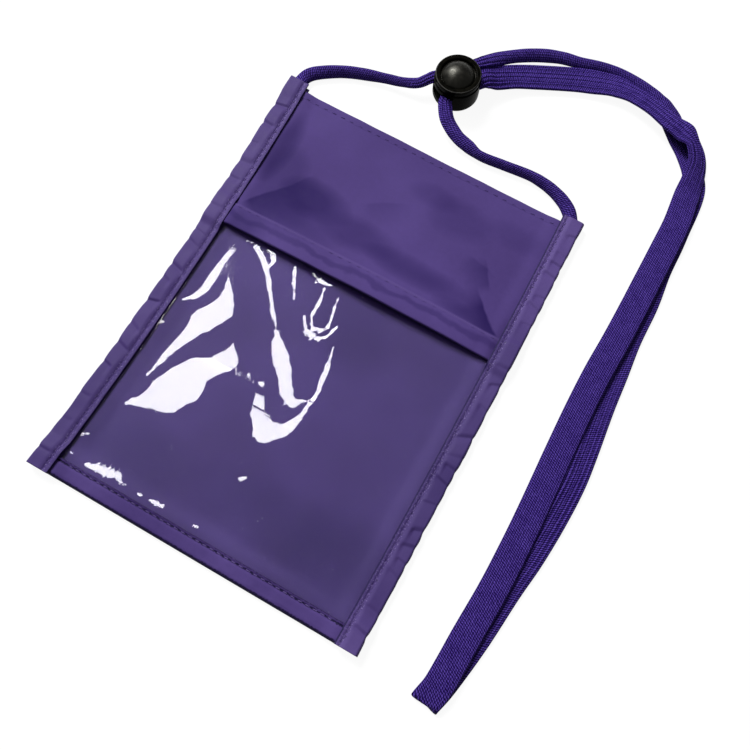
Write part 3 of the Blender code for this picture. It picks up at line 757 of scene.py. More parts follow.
def nylon(name, base, deep, shades=(), underside_and_shade=0.0, cut_edge_and_shade=0.0, marks=None, sheen=0.2):
    """Plain-woven taffeta with a fine weave, whose soft patches vary from base to deep.

    shades lists soft places of painted shade. Two shares darken the cloth by how its faces turn:
    faces turning downward, for its dark underside and as painted shade under its lower edges, and
    faces turning inward, for its cut inner edges and as painted shade in the gap beside them. marks
    is a function that adds what lies on the cloth, painted shade and highlights among it.
    """
    shader = Shader(name)
    place = shader.place()
    x, y, _ = shader.axes(place)
    patches = shader.noise(place, 28.0, 2.0).remap(0.36, 0.62)
    mottle = shader.noise(place, 420.0, 4.0, 0.65).remap(0.3, 0.7)
    tone = shader.blend(mottle * 0.3 + patches * 0.7, deep, base)
    # Painted shade in the soft places
    for spot_x, spot_y, wide, long, depth in shades:
        across = x * (1000 / wide) - spot_x / wide
        along = y * (1000 / long) - spot_y / long
        soft = patches * 0.5 + across**2 + along**2
        tone = shader.blend(soft.remap(1.4, 0.45, 0.0, depth), tone, PAINTED_SHADE)
    face_x, _, face_z = shader.axes(shader.value("NewGeometry", "Normal"))
    # Faces that turn downward: the dark underside, with painted shade under the lower edges
    if underside_and_shade:
        tone = shader.blend(face_z.remap(0.25, -0.15, 0.0, underside_and_shade), tone, UNDERSIDE_AND_SHADE)
    # Faces that turn inward: the cut inner edges, with painted shade in the gap beside them
    if cut_edge_and_shade:
        inward = shader.math("SIGN", x) * face_x
        tone = shader.blend(inward.remap(-0.62, -0.85, 0.0, cut_edge_and_shade), tone, CUT_EDGE_AND_SHADE)
    if marks:
        tone = marks(shader, tone)
    shader.set(Base_Color=tone, Roughness=mottle.remap(0.0, 1.0, 0.55, 0.68))
    shader.set(Specular_IOR_Level=sheen)
    threads = [shader.math("SINE", axis * (math.tau / WEAVE_PITCH)) for axis in (x, y)]
    shader.bump(mottle * 0.6 + threads[0] * threads[1] * 0.4, 0.00006, 0.6)
    return shader.material


def clear_film():
    """Thin clear vinyl with fine ripples and dust, that lets the lamps reach the cloth under it."""
    shader = Shader("clear_vinyl")
    place = shader.place()
    dust = shader.noise(place, 1300.0, 2.0, 0.5).remap(0.755, 0.80)
    dusty = dust * shader.noise(place, 35.0, 2.0).remap(0.42, 0.60)
    smear = shader.noise(place, 60.0, 5.0, 0.6).remap(0.45, 0.8, 0.012, 0.045)
    clear = dusty.remap(0.0, 1.0, 1.0, 0.3)
    shader.set(Base_Color=VINYL, Roughness=smear, IOR=1.45, Transmission_Weight=clear)
    stretched = shader.value("Mapping", 0, {"Vector": place, "Scale": (1.0, 0.6, 1.0)})
    shader.bump(shader.noise(stretched, 850.0, 3.0, 0.6), 0.00005, 0.22)
    lamps = shader.rays("Shadow", "Diffuse")
    through = shader.value("BsdfTransparent", 0, {"Color": VINYL_THROUGH})
    film = Value(shader, shader.surface.outputs[0])
    both = shader.value("MixShader", 0, {0: lamps, 1: film, 2: through})
    shader.join(both, shader.output.inputs["Surface"])
    return shader.material


def knitted(name, base, light, gap_shade):
    """Flat knit: slanted loops in brick order, from the lace's map of (across, along)."""
    shader = Shader(name)
    place = shader.flat_place()
    x, y, _ = shader.axes(place)
    wale = x * (1 / WALE_PITCH) + 0.5
    across = shader.math("FRACT", wale) - 0.5
    row = y * (1 / KNIT_PITCH) + shader.math("FLOOR", wale) * 0.5 + across * LOOP_SLANT
    row = row + shader.noise(place, 900.0, 2.0, 0.5) * 1.1
    along = shader.math("FRACT", row) - 0.5
    thick = abs(along) ** 2 * LOOP_THICK + 1.0
    wide = abs(across) ** 4 * LOOP_WIDE + 1.0
    fuzz = shader.noise(place, 1700.0, 3.0, 0.7).remap(0.25, 0.75)
    worn = shader.noise(place, 260.0, 3.0, 0.6).remap(0.3, 0.7, 0.75, 1.0)
    height = fuzz * 0.42 + thick.larger(0.0) * wide.larger(0.0) * worn
    # Painted shade in the gaps between the loops, and a painted highlight on the loops' crowns
    body = shader.blend(height.remap(0.22, 0.72), gap_shade, base)
    shader.set(Base_Color=shader.blend(height.remap(0.66, 1.02), body, light))
    shader.set(Roughness=0.75, Specular_IOR_Level=0.1)
    shader.bump(height, 0.00022, 0.8)
    return shader.material


def moulded(name, roughness, wear, gloss, edge):
    """Black moulded plastic, with a worn, blotchy gloss and a painted highlight at one radius."""
    shader = Shader(name)
    place = shader.place()
    x, y, z = shader.axes(place)
    haze = shader.noise(place, 420.0, 5.0, 0.65)
    worn = haze.remap(0.35, 0.68)
    # Painted highlight in a thin ring at one radius, high on the lock
    radius = shader.math("SQRT", (x - LOCK_CENTRE.x) ** 2 + (y - LOCK_CENTRE.y) ** 2)
    edge_highlight = abs(radius - edge).remap(HIGHLIGHT_WIDTH, 0.0)
    edge_highlight = edge_highlight * z.remap(*HIGHLIGHT_HEIGHTS) * haze.remap(0.30, 0.55, 0.35, 1.0)
    tone = shader.blend(edge_highlight, shader.blend(worn, BLACK, BLACK_WORN), BLACK_EDGE_HIGHLIGHT)
    shader.set(Base_Color=tone, Roughness=worn.remap(0.0, 1.0, roughness, roughness + wear))
    shader.set(Specular_Tint=BLACK_TINT, Specular_IOR_Level=gloss)
    shader.bump(shader.noise(place, 1500.0, 3.0), 0.00003, 0.4)
    return shader.material


def steel():
    """Drawn wire."""
    shader = Shader("spring_wire")
    drawn = shader.noise(shader.place(), 3000.0, 2.0)
    shader.set(Base_Color=STEEL, Metallic=1.0, Roughness=drawn.remap(0.3, 0.7, 0.22, 0.36))
    return shader.material


def floor_white():
    """A white floor that the camera sees a little brighter, with the object's shadow kept."""
    shader = Shader("floor")
    shader.set(Base_Color=FLOOR_GREY, Roughness=0.9, Specular_IOR_Level=0.1)
    seen = shader.rays("Camera", "Transmission", "Glossy")
    shader.set(Emission_Color=WHITE, Emission_Strength=seen * FLOOR_GLOW)
    return shader.material


def make_object(name, points, faces, material, flat=None):
    """A smooth mesh object; flat gives each point's place on the flat cloth."""
    mesh = bpy.data.meshes.new(name)
    mesh.from_pydata(np.asarray(points).tolist(), [], faces)
    mesh.validate()
    if flat is not None:
        layer = mesh.uv_layers.new(name=FLAT_MAP)
        corners = np.empty(len(mesh.loops), dtype=np.int64)
        mesh.loops.foreach_get("vertex_index", corners)
        layer.data.foreach_set("uv", np.asarray(flat)[corners].ravel().astype(np.float32))
    mesh.shade_smooth()
    mesh.materials.append(material)
    made = bpy.data.objects.new(name, mesh)
    bpy.context.scene.collection.objects.link(made)
    return made


def add_floor():
    """A wide level floor just under the wallet."""
    corners = [(-1, -1), (1, -1), (1, 1), (-1, 1)]
    points = [(x * FLOOR_SIZE, y * FLOOR_SIZE, -FLOOR_DEPTH) for x, y in corners]
    make_object("floor", points, [(0, 1, 2, 3)], floor_white())


def ring_faces(count, size, base=0):
    """The sides and both ends of a solid through count rings of size points."""
    faces = []
    for i in range(count - 1):
        a = base + i * size
        for j in range(size):
            k = (j + 1) % size
            faces.append((a + j, a + k, a + size + k, a + size + j))
    last = base + (count - 1) * size
    faces.append(tuple(range(base, base + size))[::-1])
    faces.append(tuple(range(last, last + size)))
    return faces


def tube_object(name, rings, material, flat=None):
    """A closed solid through rings of points, shaped (rings, points, 3)."""
    rings = np.asarray(rings)
    faces = ring_faces(*rings.shape[:2])
    flat = None if flat is None else np.asarray(flat).reshape(-1, 2)
    return make_object(name, rings.reshape(-1, 3), faces, material, flat)


def sheet_object(name, x, y, low, high, material):
    """A closed thin sheet from grids of places, with a top and an underside."""
    rows, columns = x.shape
    top = np.stack([x, y, high], axis=-1).reshape(-1, 3)
    bottom = np.stack([x, y, low], axis=-1).reshape(-1, 3)
    count = rows * columns
    faces = []
    for i in range(rows - 1):
        for a in range(i * columns, (i + 1) * columns - 1):
            quad = (a, a + 1, a + columns + 1, a + columns)
            faces.append(quad)
            faces.append(tuple(corner + count for corner in quad[::-1]))
    rim = [*range(columns)]
    rim += [i * columns + columns - 1 for i in range(1, rows)]
    rim += [(rows - 1) * columns + j for j in range(columns - 2, -1, -1)]
    rim += [i * columns for i in range(rows - 2, 0, -1)]
    for a, b in zip(rim, rim[1:] + rim[:1]):
        faces.append((b, a, a + count, b + count))
    return make_object(name, np.concatenate([top, bottom]), faces, material)


def ramp(value, start, end):
    """0 at start, 1 at end, with a smooth rise between."""
    share = np.clip((value - start) / (end - start), 0.0, 1.0)
    return share * share * (3 - 2 * share)


def hill(value, centre, width):
    """1 at a centre, and little beyond a width from it."""
    return np.exp(-(((value - centre) / width) ** 2))


def ripple(x, y, form):
    """Soft noise from nine sine waves of about one length; form is (height, length, seed)."""
    height, length, seed = form
    random = np.random.default_rng(seed)
    count = 9
    total = np.zeros(np.broadcast(x, y).shape)
    for _ in range(count):
        angle, phase = random.uniform(0, math.tau, 2)
        stretch = random.uniform(0.7, 1.5)
        step = math.tau / (length * stretch)
        total = total + np.sin((x * math.cos(angle) + y * math.sin(angle)) * step + phase)
    return height * (total / count * 1.6)


def lay(x, y):
    """Where a place of the flat pattern lies: the sewn edges are a little bowed and askew."""
    across, along = x / HALF_WIDTH, y / HALF_LENGTH
    left, right = (a + b * along**2 + c * along for a, b, c in (LEFT_EDGE, RIGHT_EDGE))
    shift = SWAY * (0.5 - along**2) + left * (1 - across) / 2 + right * (1 + across) / 2
    top = (TOP_EDGE[0] + TOP_EDGE[1] * across) * np.clip(along, 0, 1) ** 3
    bottom = (BOTTOM_EDGE[0] + BOTTOM_EDGE[1] * across) * np.clip(-along, 0, 1) ** 3
    return x + shift, y + top - bottom


def places(low, high, step, edges=()):
    """Even places with a few more close to each end."""
    inner = np.linspace(low, high, max(2, round((high - low) / step) + 1))
    extra = [low + e for e in edges] + [high - e for e in edges]
    return np.unique(np.concatenate([inner, extra]))


def stack_rise(x, y):
    """How far the bindings' and the hem's lower legs lift the plies."""
    side = ramp(np.abs(x), BINDING_EDGE - RISE, BINDING_EDGE - PLY)
    foot = 1 - ramp(y, HEM_EDGE + PLY, HEM_EDGE + RISE)
    return PLY * (side + foot)


def pillow(x, y):
    """The soft rise of all the plies between their seams."""
    inside = np.clip(1 - (x / BINDING_EDGE) ** 2, 0, 1) * np.clip(1 - (y / HALF_LENGTH) ** 2, 0, 1)
    return PILLOW * inside * (0.75 + ripple(x, y, PILLOW_WAVE))


def wrinkles(x, y, seed):
    """Fine creases of the cloth, strongest beside the bindings."""
    side = ramp(np.abs(x), BINDING_EDGE - WRINKLE_REACH, BINDING_EDGE)
    return ripple(x * 0.55, y, (*WRINKLE, seed)) * (0.25 + side)


def cloth_grid(low_y, high_y, step):
    """A grid over the wallet's width, finer at its edges."""
    edges = (0.0001, 0.0003, 0.0008)
    return np.meshgrid(places(-SEAM_X, SEAM_X, step, edges), places(low_y, high_y, step, edges))


def make_back(material):
    """The back cloth, which lies on the tapes' and the hem's lower legs."""
    x, y = cloth_grid(SEAM_Y, BACK_TOP, BACK_STEP)
    low = stack_rise(x, y) + 0.3 * pillow(x, y)
    return sheet_object("back_cloth", *lay(x, y), low, low + CLOTH, material)


def make_front(material):
    """The front cloth, which shows through the window."""
    x, y = cloth_grid(SEAM_Y, HEADER_TOP, FRONT_STEP)
    low = PLY + stack_rise(x, y) + pillow(x, y) + wrinkles(x, y, 8)
    return sheet_object("front_cloth", *lay(x, y), low, low + CLOTH, material)


def inside_flanks(x, y):
    """How far a place lies inside the nearest flank, in metres; below 0 is outside."""
    best = np.full(x.shape, -1.0)
    for flank in FLANKS_MM:
        points = np.array(flank) / 1000
        for a, b in zip(points, points[1:]):
            span = b[:2] - a[:2]
            share = ((x - a[0]) * span[0] + (y - a[1]) * span[1]) / (span @ span)
            share = np.clip(share, 0, 1)
            away = np.hypot(x - a[0] - share * span[0], y - a[1] - share * span[1])
            best = np.maximum(best, a[2] + (b[2] - a[2]) * share - away)
    return best


def calm_share(x, y, flat_x):
    """1 where the film stays calm: in the calm places, and beside the left binding."""
    calm = 1 - ramp(flat_x + BINDING_EDGE, *CALM_EDGE)
    for spot_x, spot_y, wide, long in CALM_MM:
        away = np.hypot((1000 * x - spot_x) / wide, (1000 * y - spot_y) / long)
        calm = np.maximum(calm, 1 - ramp(away, 0.7, 1.0))
    return calm


def mirror_slope(x, y, z):
    """Slope along X that a place on the film needs to mirror the strip to the camera."""
    here = np.stack([x, y, z], axis=-1)
    to_eye = np.array(CAMERA_PLACE) - here
    to_strip = np.array(STRIP_PLACE) - here
    to_eye /= np.linalg.norm(to_eye, axis=-1, keepdims=True)
    to_strip /= np.linalg.norm(to_strip, axis=-1, keepdims=True)
    half = to_eye + to_strip
    return -half[..., 0] / half[..., 2]


def relax(wanted, across, along):
    """The height whose slopes come nearest to the wanted ones, by conjugate gradients.

    wanted holds the rise between columns, across and along the weights of the rises between
    columns and between rows. The height is 0 all round and is drawn weakly to LIFT inside.
    """
    rows, columns = wanted.shape[0], wanted.shape[1] + 1
    inner = np.zeros((rows, columns))
    inner[1:-1, 1:-1] = 1.0

    def pull(height):
        flow_x = across * np.diff(height, axis=1)
        flow_y = along * np.diff(height, axis=0)
        out = LIFT_WEIGHT * height
        out[:, :-1] -= flow_x
        out[:, 1:] += flow_x
        out[:-1] -= flow_y
        out[1:] += flow_y
        return out * inner

    from_side = np.minimum(np.arange(columns), np.arange(columns)[::-1]) * FILM_STEP
    from_end = np.minimum(np.arange(rows), np.arange(rows)[::-1]) * FILM_STEP
    from_edge = np.minimum(from_side[None, :], from_end[:, None])
    source = LIFT_WEIGHT * LIFT * ramp(from_edge, 0.0, LIFT_EDGE)
    flow = across * wanted
    source[:, :-1] -= flow
    source[:, 1:] += flow
    height = np.zeros((rows, columns))
    left = source * inner
    heading = left.copy()
    energy = (left * left).sum()
    for _ in range(FILM_ROUNDS):
        moved = pull(heading)
        step = energy / (heading * moved).sum()
        height += step * heading
        left -= step * moved
        energy, before = (left * left).sum(), energy
        heading = left + heading * energy / before
    return height


def film_waves(x, y, base):
    """Height of the film's ripples over its base, whose flanks mirror the strip to the camera."""
    middle_x = (x[:, 1:] + x[:, :-1]) / 2
    middle_y = (y[:, 1:] + y[:, :-1]) / 2
    placed_x, placed_y = lay(middle_x, middle_y)
    ragged = sum(ripple(middle_x, middle_y, form) for form in RAGGED)
    share = ramp(inside_flanks(placed_x, placed_y) + ragged, *FLANK_EDGE)
    wanted = mirror_slope(placed_x, placed_y, np.full(share.shape, FILM_HEIGHT)) * FILM_STEP
    wanted = (wanted - np.diff(base, axis=1)) * share
    across = LOOSE + (1 - LOOSE) * share
    across += CALM * calm_share(placed_x, placed_y, middle_x) * (1 - share)
    along = np.full((x.shape[0] - 1, x.shape[1]), SIDEWAYS)
    return relax(wanted, across, along)


def make_film(material):
    """The window's film, with its ripples where the window is open."""
    xs = np.arange(-SEAM_X, SEAM_X + FILM_STEP / 2, FILM_STEP)
    ys = np.arange(SEAM_Y, WINDOW_TOP, FILM_STEP)
    x, y = np.meshgrid(xs, ys)
    low = 2 * PLY + stack_rise(x, y) + pillow(x, y)
    window = (np.abs(x) < BINDING_EDGE - FILM_STEP) & (y > HEM_EDGE) & (y < HEADER_EDGE + FILM_TUCK)
    rows, columns = np.flatnonzero(window.any(axis=1)), np.flatnonzero(window.any(axis=0))
    part = np.s_[rows[0] : rows[-1] + 1, columns[0] : columns[-1] + 1]
    low[part] += np.maximum(film_waves(x[part], y[part], low[part]), -FILM_SINK)
    return sheet_object("window_film", *lay(x, y), low, low + CLOTH, material)


def header_height(x, y):
    """Underside of the header, which stands off the window along its lower edge."""
    inside = np.clip(1 - (x / BINDING_EDGE) ** 2, 0, 1) ** 0.5
    stand = HEADER_STAND * inside**0.8 * (1 - ramp(y, HEADER_EDGE, HEADER_EDGE + HEADER_SLACK))
    own = ripple(x, y, HEADER_CRUMPLE) * inside
    return 3 * PLY + stack_rise(x, y) + pillow(x, y) + stand + own + wrinkles(x, y, 31)


def make_header(material):
    """The header, thicker over its two hems, with a groove at each row of stitches."""
    xs = places(-SEAM_X, SEAM_X, 0.0011, (0.0001, 0.0003))
    ys = places(HEADER_EDGE, HEADER_TOP, 0.0010, (0.0001, 0.0002, 0.0004, 0.0007))
    folds = [HEADER_FOLD + d for d in (-0.0004, -0.0002, 0.0, 0.0002)]
    folds += [TOP_FOLD + d for d in (-0.0002, 0.0, 0.0002, 0.0004)]
    x, y = np.meshgrid(xs, np.unique(np.concatenate([ys, folds])))
    low = header_height(x, y)
    lower = 1 - ramp(y, HEADER_FOLD - LOWER_HEM_STEP, HEADER_FOLD)
    upper = ramp(y, TOP_FOLD, TOP_FOLD + TOP_HEM_STEP)
    groove = sum(hill(y, row, GROOVE_WIDTH) for row in (HEADER_FOLD - HEADER_ROW, TOP_FOLD + TOP_ROW))
    thick = CLOTH + LOWER_HEM_THICK * lower + TOP_HEM_THICK * upper - GROOVE_DEPTH * groove
    from_edge = np.clip(np.minimum(y - HEADER_EDGE, HEADER_TOP - y) / HEADER_ROUND, 0.0, 1.0)
    thick = thick * np.sqrt(np.clip(1 - (1 - from_edge) ** 2, 0.02, 1.0))
    puff = lower * ripple(x, y * 0.3, LOWER_HEM_PUFF) + upper * ripple(x, y * 0.2, TOP_HEM_PUFF)
    return sheet_object("header_cloth", *lay(x, y), low, low + thick + puff, material)


def binding_top(y):
    """Height of the tape's upper face, over the window, the hem, the header and its hems."""
    on_hem = 1 - ramp(y, HEM_EDGE + PLY, HEM_EDGE + RISE)
    on_header = ramp(y, HEADER_EDGE - 0.004, HEADER_EDGE - 0.0003)
    past_hem = ramp(y, HEADER_FOLD, HEADER_FOLD + TAPE_SLOPE)
    on_top_hem = ramp(y, TOP_FOLD - TAPE_SLOPE, TOP_FOLD)
    top = 4 * PLY + TAPE_EASE + OVER_HEM * on_hem + OVER_HEADER * on_header
    return top - PAST_HEM * past_hem + OVER_TOP_HEM * on_top_hem


def creases(side):
    """Tucks that run in from a binding's fold: (y, slant, depth, length, width, steep width)."""
    made = []
    for y, slant, depth, *sizes in TUCKS_MM[side]:
        made.append((y / 1000, slant, depth, *(size / 1000 for size in sizes)))
    random = np.random.default_rng(40 + side)
    y = FIRST_TUCK
    while y < LAST_TUCK:
        depth = random.uniform(0.3, 1.0) ** 1.4
        sizes = [random.uniform(*ends) for ends in TUCK_SIZES]
        made.append((y, random.uniform(*TUCK_SLANTS), depth, *sizes))
        y += random.uniform(*TUCK_GAPS)
    return made


def tape_lift(reach, y, folds):
    """Relief of a binding's upper face: tucks across it and a groove at its stitches."""
    puff = 1 - 0.6 * ramp(reach, *TAPE_PUFF_END)
    tucked = 0.0
    for place, slant, depth, length, width, steep in folds:
        away = y - place - slant * reach
        bank = np.where(away < 0, np.exp(np.minimum(away, 0) / width), hill(away, 0.0, steep))
        fade = 1 - ramp(reach, 0.65 * length, length)
        tucked = np.maximum(tucked, depth * bank * fade)
    lift = TAPE_PUFF * puff * (1 - tucked) * (1 + ripple(reach * 0.5, y, TAPE_WAVE))
    row = BINDING_WIDTH - BINDING_ROW
    stitch = 0.5 + 0.5 * np.cos(math.tau * y / BINDING_STITCH[0])
    groove = hill(reach, row, GROOVE_WIDTH) * (TAPE_GROOVE + TAPE_STITCH_DIP * stitch)
    past_row, width, height = TAPE_LIP
    lip = height * hill(reach, row + past_row, width) * (1 + ripple(reach, y, TAPE_LIP_WAVE))
    return lift - groove + lip


def fold_section(leg, nose, square, low, top, lift, wave=0.0, raised=0.0, tuck=0.0):
    """Cloth folded round an edge, cut across: its reach in from the edge and its heights.

    leg is the reach of the flat legs, nose that of the fold, which square makes round or blunt.
    lift is the upper leg's relief, raised the fold's and wave its shift inward, and tuck thickens
    the upper leg.
    """
    middle, half, bow = (low + top) / 2, (top - low) / 2, np.cos(FOLD_TURN)
    outer_reach = nose * (1 - bow) + wave * bow
    inner_reach = nose - (nose - CLOTH) * bow + wave * bow
    outer = middle + half * square + raised
    inner = middle + (half - CLOTH) * square + raised
    foot = np.full(len(leg), low)
    reach = [leg[::-1], outer_reach, leg, leg[::-1], inner_reach[::-1], leg]
    height = [foot, outer, top + lift, (top - CLOTH + lift - tuck)[::-1], inner[::-1], foot + CLOTH]
    return np.concatenate(reach), np.concatenate(height)


def make_binding(name, side, material):
    """Tape folded round one edge, as a closed shell with its legs above and below the plies."""
    folds = creases(side)
    leg = np.linspace(FOLD_NOSE, BINDING_WIDTH, 32)[1:]
    square = np.sign(FOLD_TURN) * np.abs(np.sin(FOLD_TURN)) ** FOLD_SQUARE
    tuck = RIM_TUCK * ramp(leg, BINDING_WIDTH - 0.0008, BINDING_WIDTH - 0.0003)
    rings, maps = [], []
    for y in places(-HALF_LENGTH, HALF_LENGTH, 0.00032):
        wave = ripple(np.array(0.0), np.array(y), (*TAPE_SWAY, 50 + side))
        for place, _, depth, _, width, _ in folds:
            wave += TUCK_PINCH * depth * hill(y, place, 0.0004 + width / 2)
        raised = tape_lift(np.array([FOLD_NOSE]), y, folds)[0] * np.clip(square, 0.0, 1.0)
        lift, top = tape_lift(leg, y, folds), binding_top(y)
        reach, height = fold_section(leg, FOLD_NOSE, square, 0.0, top, lift, wave, raised, tuck)
        along = np.full(len(reach), y)
        rings.append(np.stack([*lay(side * (HALF_WIDTH - reach), along), height], axis=-1))
        maps.append(np.stack([reach, along], axis=-1))
    return tube_object(name, rings, material, maps)


def make_hem(material):
    """The fold along the bottom edge, pinched by its stitches."""
    leg = np.linspace(FOLD_DEPTH, HEM_WIDTH, 22)[1:]
    pinch = hill(leg, HEM_WIDTH - HEM_ROW, 0.0005)
    rings, maps = [], []
    for x in places(-SEAM_X, SEAM_X, 0.0008):
        low = PLY * ramp(abs(x), BINDING_EDGE - RISE, BINDING_EDGE - PLY)
        stitch = 0.5 + 0.5 * math.cos(math.tau * x / HEM_STITCH[0])
        lift = ripple(leg * 0.5, np.array(x), HEM_PUFF) - pinch * HEM_PINCH * (1 + stitch)
        reach, height = fold_section(leg, FOLD_DEPTH, np.sin(FOLD_TURN), low, low + HEM_TOP, lift)
        across = np.full(len(reach), x)
        rings.append(np.stack([*lay(across, reach - HALF_LENGTH), height], axis=-1))
        maps.append(np.stack([reach, across], axis=-1))
    return tube_object("bottom_hem_cloth", rings, material, maps)


def stitch_row(name, start, end, form, height, material):
    """A row of stitches between two places.

    form is (pitch, length), and height(x, y) gives the cloth's top under the stitches.
    """
    pitch, length = form
    start, end = np.array(start), np.array(end)
    span = np.linalg.norm(end - start)
    direction = (end - start) / span
    side = np.array([-direction[1], direction[0]])
    count = int(span / pitch)
    points, faces = [], []
    for i in range(count):
        centre = start + (end - start) * (i + 0.5) / count
        faces += ring_faces(STITCH_RINGS, STITCH_SIDES, len(points))
        for t in np.linspace(-1, 1, STITCH_RINGS):
            here = centre + direction * t * length / 2
            size = THREAD / 2 * math.sqrt(max(1 - t**4, 0.04))
            z = height(*here) + THREAD * (0.45 - 0.85 * t**4)
            for angle in np.arange(STITCH_SIDES) / STITCH_SIDES * math.tau:
                x, y = lay(*(here + side * math.cos(angle) * size))
                points.append((x, y, z + math.sin(angle) * size))
    return make_object(name, points, faces, material)


def make_stitches(material, flap):
    """The thread on the bindings and the hems."""
    rows = []
    reach = np.array([BINDING_WIDTH - BINDING_ROW])
    end = HALF_LENGTH - ROW_MARGIN
    for name, side in (("left_binding_stitches", -1), ("right_binding_stitches", 1)):
        x, folds = side * (BINDING_EDGE + BINDING_ROW), creases(side)

        def on_tape(_, y, folds=folds):
            return binding_top(y) + tape_lift(reach, y, folds)[0]

        rows.append(stitch_row(name, (x, -end), (x, end), BINDING_STITCH, on_tape, material))

    def on_header(x, y):
        hem = LOWER_HEM_THICK if y < HEADER_TOP - HEADER_HEM else TOP_HEM_THICK
        return float(header_height(np.array(x), np.array(y))) + CLOTH + hem - GROOVE_DEPTH

    def on_hem(x, y):
        return HEM_TOP - HEM_STITCH_SINK

    for name, y, form, height, thread in (
        ("header_hem_stitches", HEADER_FOLD - HEADER_ROW, HEADER_STITCH, on_header, flap),
        ("header_top_stitches", TOP_FOLD + TOP_ROW, HEADER_STITCH, on_header, flap),
        ("bottom_hem_stitches", HEM_EDGE - HEM_ROW, HEM_STITCH, on_hem, material),
    ):
        rows.append(stitch_row(name, (-ROW_INNER, y), (ROW_INNER, y), form, height, thread))
    return rows


def smooth_route(rows):
    """Places along a smooth curve through the rows, four to a knitted row.

    With them come the lace's form and the distance along the curve at each.
    """
    points = np.array([row[:3] for row in rows]) / 1000
    forms = np.array([row[3:] or FLAT for row in rows])
    ends = np.vstack([2 * points[0] - points[1], points, 2 * points[-1] - points[-2]])
    share = np.linspace(0, 1, ROUTE_STEPS, endpoint=False)[:, None]
    curve, shapes = [], []
    for i in range(len(points) - 1):
        four = ends[i : i + 4]
        knots = np.concatenate([[0], np.cumsum(np.linalg.norm(np.diff(four, axis=0), axis=1) ** 0.5)])
        place = knots[1] + (knots[2] - knots[1]) * share

        def between(a, b, first, last):
            return a + (b - a) * (place - knots[first]) / (knots[last] - knots[first])

        a, b, c = (between(four[k], four[k + 1], k, k + 1) for k in range(3))
        curve.append(between(between(a, b, 0, 2), between(b, c, 1, 3), 1, 2))
        shapes.append(forms[i] + (forms[i + 1] - forms[i]) * ramp(share, 0.0, 1.0))
    curve = np.vstack([*curve, points[-1:]])
    shapes = np.vstack([*shapes, forms[-1:]])
    length = np.concatenate([[0], np.cumsum(np.linalg.norm(np.diff(curve, axis=0), axis=1))])
    at = np.linspace(0, length[-1], round(length[-1] / (KNIT_PITCH / 4)) + 1)
    even, form = (
        np.stack([np.interp(at, length, column) for column in table.T], axis=-1)
        for table in (curve, shapes)
    )
    return even, form, at


def knit_height(across, along):
    """Relief of the knit: slanted loops in brick order, as in its material."""
    wale = across / WALE_PITCH + 0.5
    cell = np.floor(wale)
    side = wale - cell - 0.5
    row = along / KNIT_PITCH + cell * 0.5 + side * LOOP_SLANT
    row = row - np.floor(row) - 0.5
    thick, wide = 1 + LOOP_THICK * row**2, 1 + LOOP_WIDE * side**4
    return KNIT_RELIEF * np.clip(thick, 0, 1) * np.clip(wide, 0, 1)


def lace_outline(form, along):
    """The lace cut across, as (side, up) points and the across map of each."""
    share, roll, flatten, bank, pleat = form
    width = LACE_WIDTH * share
    turn = np.linspace(-math.pi / 2, math.pi / 2, LACE_POINTS)
    s = np.sin(turn * LACE_CURL) / math.sin(LACE_CURL * math.pi / 2)
    edge = np.sqrt(np.clip(1 - np.abs(s) ** 7, 0.0, 1.0))
    map_across = s * LACE_WIDTH / 2
    s = s * width / 2
    half = LACE_THICKNESS / 2 * edge + LACE_RIM
    relief = knit_height(map_across, along) * edge
    ribs = PLEAT * pleat * np.cos(math.tau * map_across / RIB_PITCH) * edge
    bend = (roll if abs(roll) > 1e-4 else 1e-4) / width
    mid = np.stack([np.sin(s * bend) / bend, (np.cos(s * bend) - 1) / bend * flatten], axis=-1)
    normal = np.stack([np.sin(s * bend) * flatten, np.cos(s * bend)], axis=-1)
    normal /= np.linalg.norm(normal, axis=-1, keepdims=True)
    mid[:, 1] -= (mid[:, 1].max() + mid[:, 1].min()) / 2
    top = mid + normal * (half + relief + ribs)[:, None]
    bottom = mid - normal * (half + relief - ribs)[:, None]
    lean = math.radians(bank)
    turn = np.array([[math.cos(lean), -math.sin(lean)], [math.sin(lean), math.cos(lean)]])
    return np.vstack([top, bottom[::-1]]) @ turn.T, np.concatenate([map_across, map_across[::-1]])


def lace_object(name, rows, material):
    """One stretch of lace, swept along its route, with its middle line and its length."""
    line, form, at = smooth_route(rows)
    along = np.gradient(line, axis=0)
    along /= np.linalg.norm(along, axis=1, keepdims=True)
    rings, maps = [], []
    side = np.cross((0.0, 0.0, 1.0), along[0])
    for i in range(len(line)):
        level = np.cross((0.0, 0.0, 1.0), along[i])
        if np.linalg.norm(level) > STEEP:
            side = level / np.linalg.norm(level) * (1 if level @ side > 0 else -1)
        side = side - along[i] * (side @ along[i])
        side /= np.linalg.norm(side)
        outline, across = lace_outline(form[i], at[i])
        rings.append(line[i] + outline[:, :1] * side + outline[:, 1:] * np.cross(along[i], side))
        maps.append(np.stack([across, np.full(len(across), at[i])], axis=-1))
    rings = np.array(rings)
    lift = np.clip(LACE_CLEARANCE - rings[..., 2].min(axis=1), 0, None)
    kernel = np.hanning(SETTLE)
    lift = np.convolve(np.pad(lift, SETTLE // 2, mode="edge"), kernel / kernel.sum(), mode="valid")
    rings[..., 2] += lift[:, None]
    return tube_object(name, rings, material, maps), line, at[-1]


def make_laces(material):
    """The two strands and the doubled loop."""
    for name, rows, node, width, start, end in STRETCHES:
        made, line, length = lace_object(name, rows, material)
        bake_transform(made)
        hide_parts(node)


